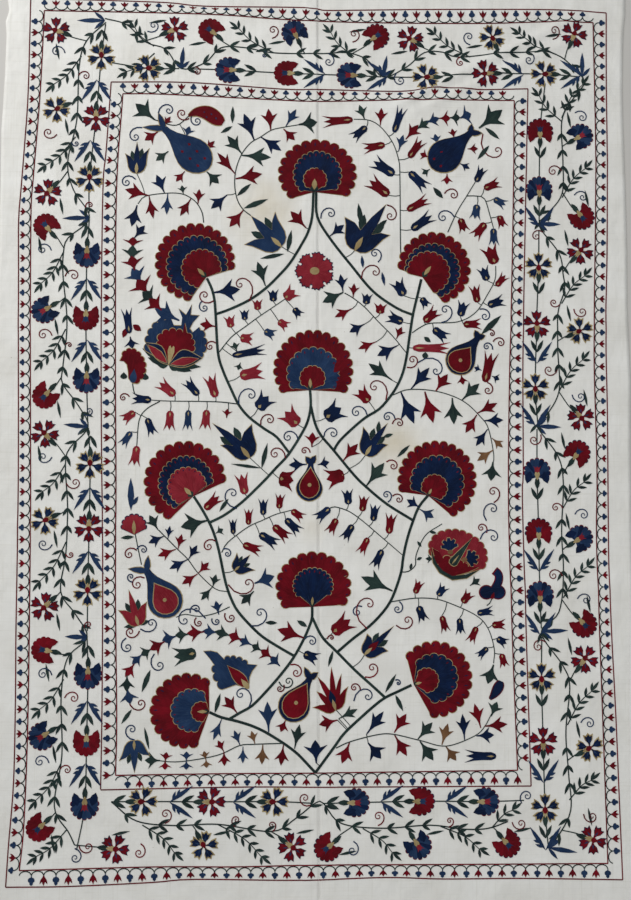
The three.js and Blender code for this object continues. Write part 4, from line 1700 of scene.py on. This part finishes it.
def sew_flower_stems(work: Work, vines: Sequence[Sequence[Vector]]) -> None:
    """Sews the border's flowers with their stems and leaves.

    Args:
        work: The border's canvases.
        vines: The winding vines, which the outer flowers grow from.
    """
    stems = [smooth_line(points, 14) for points in STRAIGHT_STEMS]
    for line in stems:
        work[G].ribbon(line, lambda share: 2.8, 0)
    middles = [Vector((x, y)) for _, flowers in FLOWER_ROWS for _, x, y in flowers]
    for facing, flowers in FLOWER_ROWS:
        run = Vector((math.cos(facing), math.sin(facing)))
        before = None
        for bloom, x, y in flowers:
            middle = Vector((x, y))
            if (nearest_stem(middle, stems) - middle).length < ON_STEM:
                feathered = before is not None and (middle - before).length < FEATHER_GAP
                sew_leaf_pairs(work, middle, facing, feathered)
                BorderFlower(bloom, (x, y), facing).sew(work)
                before = middle
                continue
            others = [other for other in middles if 1 < (other - middle).length < PARTNER_GAP]
            away = (middle - others[0]).normalized() * 52 if others else run * -26
            foot = nearest_stem(middle + away, vines)
            turned = heading(tuple(foot), (x, y))
            sag = (foot + middle) / 2 - away * 0.12
            work[G].ribbon(smooth_line([tuple(foot), tuple(sag), (x, y)], 9), lambda share: 2.6, 0)
            BorderFlower(bloom, (x, y), turned, 33.0).sew(work)
            root = polar((x, y), turned + 1.9, 33)
            Leaf(G, root, polar(root, facing + 0.2, 44), 7).sew(work)


def sew_leaf_pairs(work: Work, middle: Vector, facing: float, feathered: bool) -> None:
    """Sews the pair of plain leaves before a flower, and the pair of feathered ones behind it.

    Args:
        work: The border's canvases.
        middle: The flower's middle.
        facing: The way that it faces.
        feathered: Whether there is room for the feathered pair.
    """
    run = Vector((math.cos(facing), math.sin(facing)))
    root = tuple(middle - run * 71)
    for side in (1, -1):
        Leaf(G, root, polar(root, facing + side * 0.46, 35), 10).sew(work)
        if feathered:
            quill = tuple(middle - run * 99)
            angle = facing + side * 0.6
            Leaf(S, quill, polar(quill, angle, 68), 10.5).sew(work, 2)
            for share, length in ((0.12, 22), (0.32, 19)):
                barb = polar(quill, angle, 68 * share)
                Leaf(S, barb, polar(barb, angle + side * 0.62, length), 7).sew(work)


def sew_vine_leaves(work: Work, line: Sequence[Vector]) -> None:
    """Sews pairs of leaves along a winding vine.

    Args:
        work: The border's canvases.
        line: The vine.
    """
    length = sum((b - a).length for a, b in zip(line, line[1:]))
    count = round(length / VINE_LEAF_PITCH)
    for i in range(1, count):
        here = along_line(line, i / count)
        if min((Vector(start) - here).length for start, _ in SPRIGS) < SPRIG_ROOM:
            continue
        ahead = along_line(line, min(1.0, i / count + 0.004))
        along = heading(tuple(here), tuple(ahead))
        for side in (1, -1):
            reach = 31 if (i + side) % 3 else 24
            Leaf(G, tuple(here), polar(tuple(here), along + side * VINE_LEAF_TURN, reach), 8).sew(work)


def sew_border() -> Work:
    """Sews the border between the two frames, and the frames themselves.

    Returns:
        The border's canvases.
    """
    work = Work("border")
    for side in FRAME_SIDES:
        side.sew(work)
    vines = [smooth_line(points, 12) for points in BORDER_VINES]
    for line in vines:
        work[G].ribbon(line, lambda share: 3.0, 0)
        sew_vine_leaves(work, line)
    sew_flower_stems(work, vines)
    for start, end in SPRIGS:
        Sprig(start, end).sew(work)
    for i, (thread, x, y) in enumerate(BORDER_CURLS):
        hand = 1 if i % 2 else -1
        place = nearest_stem(Vector((x, y)), vines)
        root = polar((x, y), heading((x, y), tuple(place)), min(22.0, (place - Vector((x, y))).length))
        Curl(thread, root, (x, y), hand, width=3.0).sew(work)
    for base, tip in TURN_LEAVES:
        Leaf(S, base, tip, 12).sew(work)
        Leaf(S, base, polar(base, heading(base, tip) + 0.7, math.dist(base, tip) * 0.5), 9).sew(work)
        Leaf(S, base, polar(base, heading(base, tip) - 0.7, math.dist(base, tip) * 0.5), 9).sew(work)
    return work


ON_STEM = 20.0
FEATHER_GAP = 185.0
PARTNER_GAP = 100.0
VINE_LEAF_PITCH = 43.0
VINE_LEAF_TURN = 0.52
SPRIG_ROOM = 20.0


@dataclass
class Panel:
    """One loom width of the cloth, with the cloth turned under at its seam."""

    node: str
    side: int
    outer: int
    under: int
    rows: int = 292
    under_columns: int = 5
    even_columns: int = 92

    def place_x(self, column: int, y: float) -> float:
        """X of one column at any place along the cloth.

        Args:
            column: Column of the grid, from the seam outwards.
            y: Place along the cloth.

        Returns:
            Millimetres across the cloth.
        """
        seam = seam_at(y) + self.side * SEAM_GAP / 2
        under = max(outline_at(y, self.under), 4.0)
        if column <= self.under_columns:
            return seam + self.side * under * column / self.under_columns
        start = seam + self.side * (under + ALLOWANCE_EDGE)
        share = (column - self.under_columns - 1) / self.even_columns
        return start + (outline_at(y, self.outer) - start) * share

    def build(self) -> bpy.types.Object:
        """Makes the closed sheet on its folds and wrinkles.

        Returns:
            The piece, which stands for its node.
        """
        columns = self.under_columns + 1 + self.even_columns
        bm = bmesh.new()
        bmesh.ops.create_grid(bm, x_segments=columns, y_segments=self.rows, size=0.5)
        for vert in bm.verts:
            column = round((vert.co.x + 0.5) * columns)
            y = CLOTH_FOOT + (CLOTH_HEAD - CLOTH_FOOT) * (vert.co.y + 0.5)
            x = self.place_x(column, y)
            vert.co = (x, y, lift(x, y))
        raised = bmesh.ops.extrude_face_region(bm, geom=bm.faces[:])["geom"]
        for item in raised:
            if isinstance(item, bmesh.types.BMVert):
                item.co.z += CLOTH_THICKNESS + allowance(item.co.x, item.co.y)
        bmesh.ops.recalc_face_normals(bm, faces=bm.faces[:])
        for face in bm.faces:
            face.smooth = abs(face.normal.z) > 0.7
        bmesh.ops.scale(bm, vec=(MM, MM, MM), verts=bm.verts[:])
        piece = finish_piece(self.node.replace("panel", "cloth"), bm, Thread.COTTON)
        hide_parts(self.node)
        width = max(abs(row[self.outer] - seam_at(row[0])) for row in OUTLINE)
        area = sum((abs(up[self.outer] - seam_at(up[0])) + abs(low[self.outer] - seam_at(low[0])))
                   / 2 * (up[0] - low[0]) for up, low in zip(OUTLINE, OUTLINE[1:]))
        width * MM
        area * MM * MM
        return piece


@dataclass
class Seam:
    """The slanting stitches that join the two panels."""

    pitch: float = 4.0
    stitch_length: float = 4.6
    stitch_width: float = 2.2

    def build(self) -> bpy.types.Object:
        """Makes the row of stitches from head to foot.

        Returns:
            The piece.
        """
        canvas = Canvas("seam_stitches", Thread.COTTON)
        count = int((CLOTH_HEAD - CLOTH_FOOT) / self.pitch) - 1
        for i in range(1, count):
            y = CLOTH_FOOT + i * self.pitch
            middle = Vector((seam_at(y), y)) - DESIGN_SHIFT
            reach = Vector((self.stitch_length / 2, 1.3))
            line = [middle - reach, middle, middle + reach]
            canvas.ribbon(line, lambda share: self.stitch_width * (1 - abs(share - 0.5) * 0.7), -3)
        return canvas.raise_work()


@dataclass(frozen=True)
class ThreadFinish:
    """Colours and surface of one thread, as linear values."""

    base: tuple[float, float, float]
    # The thread's darker tone, also used as painted shade in its grooves and towards the cloth's head.
    deep_and_shade: tuple[float, float, float]
    worn: tuple[float, float, float]
    roughness: float = 0.7
    sheen: float = 0.03
    # Painted shade: how strongly the thread is darkened towards the cloth's head.
    head_painted_shade: float = 0.0


def linear(red: int, green: int, blue: int) -> tuple[float, float, float]:
    """A colour of 0 to 255 values as linear light."""
    return tuple(((v / 255 + 0.055) / 1.055) ** 2.4 if v > 10 else v / 255 / 12.92
                 for v in (red, green, blue))


FINISHES = {
    # Crimson gets painted shade that darkens it towards the cloth's head.
    Thread.CRIMSON: ThreadFinish(linear(116, 6, 24), linear(78, 2, 12), linear(140, 28, 42), head_painted_shade=0.4),
    Thread.ROSE: ThreadFinish(linear(140, 38, 50), linear(108, 20, 32), linear(164, 72, 76)),
    Thread.NAVY: ThreadFinish(linear(8, 30, 66), linear(3, 16, 42), linear(34, 58, 92)),
    Thread.SLATE: ThreadFinish(linear(34, 56, 88), linear(18, 38, 68), linear(64, 84, 108)),
    Thread.GREEN: ThreadFinish(linear(40, 58, 54), linear(22, 36, 36), linear(74, 88, 78)),
    Thread.STRAW: ThreadFinish(linear(172, 154, 112), linear(138, 118, 80), linear(190, 178, 144)),
    Thread.OCHRE: ThreadFinish(linear(120, 86, 58), linear(92, 62, 40), linear(146, 118, 90)),
}


@dataclass
class Shader:
    """A node tree that is built up step by step."""

    name: str

    def __post_init__(self) -> None:
        """Makes the material and its Principled shader."""
        self.material = bpy.data.materials.new(self.name)
        self.material.use_nodes = True
        self.tree = self.material.node_tree
        self.surface = self.tree.nodes["Principled BSDF"]

    def add(self, kind: str, settings: dict | None = None, **inputs: object) -> bpy.types.Node:
        """Adds a node.

        Args:
            kind: The node's type.
            settings: Its own properties.
            **inputs: Values or sockets for its inputs, with _ for a space and a number as n1.

        Returns:
            The node.
        """
        node = self.tree.nodes.new(kind)
        for key, value in (settings or {}).items():
            setattr(node, key, value)
        for key, value in inputs.items():
            socket = node.inputs[int(key[1:]) if key[1:].isdigit() else key.replace("_", " ")]
            self.feed(socket, value)
        return node

    def feed(self, socket: bpy.types.NodeSocket, value: object) -> None:
        """Gives a socket a value or links it to another one."""
        if isinstance(value, bpy.types.NodeSocket):
            self.tree.links.new(value, socket)
        else:
            socket.default_value = value

    def math(self, operation: str, *values: object) -> bpy.types.NodeSocket:
        """The result of a Math node."""
        inputs = {f"n{i}": value for i, value in enumerate(values)}
        return self.add("ShaderNodeMath", {"operation": operation}, **inputs).outputs[0]

    def mix(self, share: object, first: object, second: object, blend: str = "MIX") -> bpy.types.NodeSocket:
        """A mix of two colours."""
        node = self.add("ShaderNodeMix", {"data_type": "RGBA", "blend_type": blend},
                        n0=share, n6=first, n7=second)
        return node.outputs[2]

    def noise(self, vector: bpy.types.NodeSocket, scale: float, detail: float = 2.0) -> bpy.types.NodeSocket:
        """The value of a noise pattern."""
        return self.add("ShaderNodeTexNoise", None, Vector=vector, Scale=scale, Detail=detail).outputs[0]

    def ramp(self, value: bpy.types.NodeSocket, low: float, high: float) -> bpy.types.NodeSocket:
        """A value spread from 0 at low to 1 at high."""
        node = self.add("ShaderNodeMapRange", {"clamp": True}, Value=value, From_Min=low, From_Max=high)
        return node.outputs[0]

    def stretched(self, vector: bpy.types.NodeSocket,
                  scale: tuple[float, float, float]) -> bpy.types.NodeSocket:
        """A vector scaled along its axes."""
        return self.add("ShaderNodeMapping", {"vector_type": "POINT"}, Vector=vector, Scale=scale).outputs[0]


def thread_material(thread: Thread, finish: ThreadFinish) -> bpy.types.Material:
    """Embroidery thread: strands side by side, crossed by small tying stitches, a little worn, with painted
    shade in the grooves between strands and, where its finish asks, towards the cloth's head.

    Args:
        thread: The thread.
        finish: Its colours and surface.

    Returns:
        The material.
    """
    shader = Shader(thread.value)
    place = shader.add("ShaderNodeAttribute", {"attribute_name": "stitch"}).outputs["Vector"]
    along, across, tint = shader.add("ShaderNodeSeparateXYZ", None, Vector=place).outputs
    here = shader.add("ShaderNodeTexCoord").outputs["Object"]
    wander = shader.noise(shader.stretched(place, (0.05, 0.4, 1.0)), 1.0)
    bent = shader.math("MULTIPLY", wander, 5.0)
    strand = shader.math("SINE", shader.math("MULTIPLY_ADD", across, STRAND_TURNS, bent))
    slanted = shader.math("MULTIPLY", across, 2.2)
    ties = shader.math("SINE", shader.math("MULTIPLY_ADD", along, TIE_TURNS, slanted))
    relief = shader.math("MULTIPLY_ADD", ties, 0.35, strand)
    streak = shader.noise(shader.stretched(place, (0.06, 1.1, 3.0)), 1.0, 4.0)
    patchy = shader.noise(here, 26.0, 3.0)
    depth = shader.math("MULTIPLY_ADD", tint, 0.16, shader.math("MULTIPLY", patchy, 0.84))
    colour = shader.mix(shader.ramp(depth, 0.25, 0.62), (*finish.base, 1), (*finish.deep_and_shade, 1))
    wear = shader.math("MULTIPLY", shader.ramp(streak, 0.5, 0.72), 0.42)
    colour = shader.mix(wear, colour, (*finish.worn, 1))
    # Painted shade: the grooves between strands are darkened towards the deep colour.
    groove_shade = shader.math("MULTIPLY", shader.ramp(relief, -0.5, -1.2), 0.5)
    colour = shader.mix(groove_shade, colour, (*finish.deep_and_shade, 1))
    # Painted shade: the thread is darkened towards the cloth's head.
    if finish.head_painted_shade:
        height = shader.add("ShaderNodeSeparateXYZ", None, Vector=here).outputs[1]
        painted_shade_towards_head = shader.math("MULTIPLY", shader.ramp(height, -0.6, 0.7), finish.head_painted_shade)
        colour = shader.mix(painted_shade_towards_head, colour, (*finish.deep_and_shade, 1))
    shader.feed(shader.surface.inputs["Base Color"], colour)
    bump = shader.add("ShaderNodeBump", None, Height=relief, Strength=0.55, Distance=0.00035)
    shader.feed(shader.surface.inputs["Normal"], bump.outputs[0])
    shader.feed(shader.surface.inputs["Roughness"],
                shader.math("MULTIPLY_ADD", streak, 0.24, finish.roughness - 0.12))
    shader.surface.inputs["Sheen Weight"].default_value = finish.sheen
    shader.surface.inputs["Sheen Roughness"].default_value = 0.4
    shader.surface.inputs["Specular IOR Level"].default_value = 0.08
    return shader.material


def cotton_material() -> bpy.types.Material:
    """Undyed hand-woven cotton: weave with painted shade in its gaps, slubs, seed flecks, soft stains and
    small puckers.

    Returns:
        The material.
    """
    shader = Shader("cotton_ground")
    here = shader.add("ShaderNodeTexCoord").outputs["Object"]
    x, y, _ = shader.add("ShaderNodeSeparateXYZ", None, Vector=here).outputs
    warp = shader.math("SINE", shader.math("MULTIPLY", x, WEAVE_TURNS))
    weft = shader.math("SINE", shader.math("MULTIPLY", y, WEAVE_TURNS * 0.92))
    weave = shader.math("MULTIPLY", warp, weft)
    slub_y = shader.noise(shader.stretched(here, (260.0, 7.0, 1.0)), 1.0, 2.0)
    slub_x = shader.noise(shader.stretched(here, (7.0, 260.0, 1.0)), 1.0, 2.0)
    slubs = shader.math("ADD", shader.ramp(slub_y, 0.56, 0.8), shader.ramp(slub_x, 0.56, 0.8))
    mottle = shader.noise(here, 9.0, 4.0)
    pucker = shader.noise(shader.stretched(here, (22.0, 15.0, 1.0)), 1.0, 2.0)
    colour = shader.mix(shader.ramp(mottle, 0.3, 0.72), COTTON_PALE, COTTON_GREY)
    colour = shader.mix(shader.math("MULTIPLY", slubs, 0.3), colour, COTTON_SLUB)
    # Painted shade in the gaps between the yarns of the weave.
    weave_gap_shade = shader.math("MULTIPLY", shader.ramp(weave, 0.2, -1.0), 0.16)
    colour = shader.mix(weave_gap_shade, colour, COTTON_SHADE)
    for stain_x, stain_y, reach, depth in STAINS:
        middle = (stain_x, stain_y, 0.0)
        off = shader.add("ShaderNodeVectorMath", {"operation": "DISTANCE"}, n0=here, n1=middle)
        uneven = shader.math("MULTIPLY", mottle, depth)
        share = shader.math("MULTIPLY", shader.ramp(off.outputs[1], reach, 0.0), uneven)
        colour = shader.mix(share, colour, COTTON_STAIN)
    cells = shader.add("ShaderNodeTexVoronoi", {"feature": "F1"}, Vector=here, Scale=46.0)
    chance = shader.add("ShaderNodeSeparateColor", None, Color=cells.outputs["Color"]).outputs[0]
    rare = shader.math("GREATER_THAN", chance, 0.86)
    seed = shader.math("MULTIPLY", shader.ramp(cells.outputs["Distance"], 0.055, 0.03), rare)
    colour = shader.mix(shader.math("MULTIPLY", seed, 0.7), colour, COTTON_SEED)
    shader.feed(shader.surface.inputs["Base Color"], colour)
    fine = shader.add("ShaderNodeBump", None, Height=shader.math("MULTIPLY_ADD", slubs, 0.8, weave),
                      Strength=0.5, Distance=0.00018)
    soft = shader.add("ShaderNodeBump", None, Height=pucker, Strength=0.6, Distance=0.009,
                      Normal=fine.outputs[0])
    shader.feed(shader.surface.inputs["Normal"], soft.outputs[0])
    shader.feed(shader.surface.inputs["Roughness"], shader.math("MULTIPLY_ADD", slubs, -0.08, 0.94))
    shader.surface.inputs["Sheen Weight"].default_value = 0.08
    shader.surface.inputs["Specular IOR Level"].default_value = 0.1
    return shader.material


STRAND_TURNS = 2 * math.pi / 1.1
TIE_TURNS = 2 * math.pi / 3.4
WEAVE_TURNS = 2 * math.pi / 0.0013
COTTON_PALE = (*linear(223, 221, 216), 1)
COTTON_GREY = (*linear(211, 208, 201), 1)
COTTON_SLUB = (*linear(190, 186, 172), 1)
COTTON_SHADE = (*linear(176, 174, 166), 1)
COTTON_STAIN = (*linear(186, 168, 128), 1)
COTTON_SEED = (*linear(104, 84, 58), 1)
# Soft stains: x, y and reach in metres, and depth.
STAINS = [(-0.145, 0.55, 0.11, 0.9), (0.205, -0.04, 0.09, 0.9), (-0.02, -0.24, 0.05, 0.5)]


@dataclass
class Studio:
    """The plain floor, the soft light and the camera over the cloth."""

    eye: tuple[float, float, float] = (-0.057, -0.132, 1.679)
    turn: tuple[float, float, float] = (-2.92, -1.66, 0.32)
    lens: float = 27.04
    sensor: float = 36.0
    floor_size: float = 14.0

    def build(self) -> None:
        """Makes the floor, the lights and the camera.
        """
        self.lay_floor()
        self.hang_lights()
        self.set_camera()

    def lay_floor(self) -> None:
        """Makes the floor and its plain, faintly mottled finish."""
        bm = bmesh.new()
        bmesh.ops.create_grid(bm, x_segments=1, y_segments=1, size=self.floor_size / 2)
        bmesh.ops.translate(bm, vec=(0, 0, -0.0004), verts=bm.verts[:])
        mesh = bpy.data.meshes.new("floor")
        bm.to_mesh(mesh)
        bm.free()
        floor = bpy.data.objects.new("floor", mesh)
        bpy.context.scene.collection.objects.link(floor)
        shader = Shader("floor")
        here = shader.add("ShaderNodeTexCoord").outputs["Object"]
        cloud = shader.noise(here, 2.0, 3.0)
        shader.feed(shader.surface.inputs["Base Color"],
                    shader.mix(cloud, (0.44, 0.42, 0.39, 1), (0.5, 0.48, 0.45, 1)))
        shader.surface.inputs["Roughness"].default_value = 0.75
        mesh.materials.append(shader.material)

    def hang_lights(self) -> None:
        """Hangs one large soft light to the side and fills with the room's light."""
        scene = bpy.context.scene
        scene.world = bpy.data.worlds.new("room")
        scene.world.use_nodes = True
        background = scene.world.node_tree.nodes["Background"]
        background.inputs[0].default_value = (0.93, 0.97, 1.0, 1)
        background.inputs[1].default_value = ROOM_LIGHT
        scene.view_settings.view_transform = "Standard"
        for name, place, size, power in LIGHTS:
            light = bpy.data.lights.new(name, "AREA")
            light.energy, light.size = power, size
            lamp = bpy.data.objects.new(name, light)
            lamp.location = place
            lamp.rotation_mode = "QUATERNION"
            lamp.rotation_quaternion = (-Vector(place)).to_track_quat("-Z", "Y")
            scene.collection.objects.link(lamp)

    def set_camera(self) -> None:
        """Puts the camera over the cloth, turned as the photograph is."""
        turn = Vector([math.radians(angle) for angle in self.turn])
        tilt = Quaternion(turn.normalized(), turn.length).to_matrix()
        flip = Matrix.Diagonal((1, -1, -1))
        data = bpy.data.cameras.new("camera")
        data.lens, data.sensor_width, data.sensor_fit = self.lens, self.sensor, "AUTO"
        camera = bpy.data.objects.new("camera", data)
        camera.matrix_world = (flip @ tilt.transposed() @ flip).to_4x4()
        camera.location = self.eye
        bpy.context.scene.collection.objects.link(camera)
        bpy.context.scene.camera = camera


ROOM_LIGHT = 0.5
# Lights: name, place, size in metres and power in watts.
LIGHTS = [("window", (-2.6, 2.6, 1.7), 1.4, 88.0), ("ceiling", (0.4, -0.3, 3.4), 2.6, 36.0)]


def main() -> None:
    """Builds the cloth, sews it, dresses every piece and reports them."""
    logging.basicConfig(level=logging.INFO, format="%(name)s: %(message)s")
    Studio().build()
    pieces = [Panel("panel_left", -1, LEFT, UNDER_LEFT).build(),
              Panel("panel_right", 1, RIGHT, UNDER_RIGHT).build(), Seam().build()]
    cotton = cotton_material()
    for piece in pieces:
        piece.data.materials.append(cotton)
    threads = {thread: thread_material(thread, finish) for thread, finish in FINISHES.items()}
    for work in (sew_field(), sew_border()):
        for piece in work.raise_all():
            piece.data.materials.append(threads[Thread(piece["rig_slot"])])


if __name__ == "__main__":
    main()
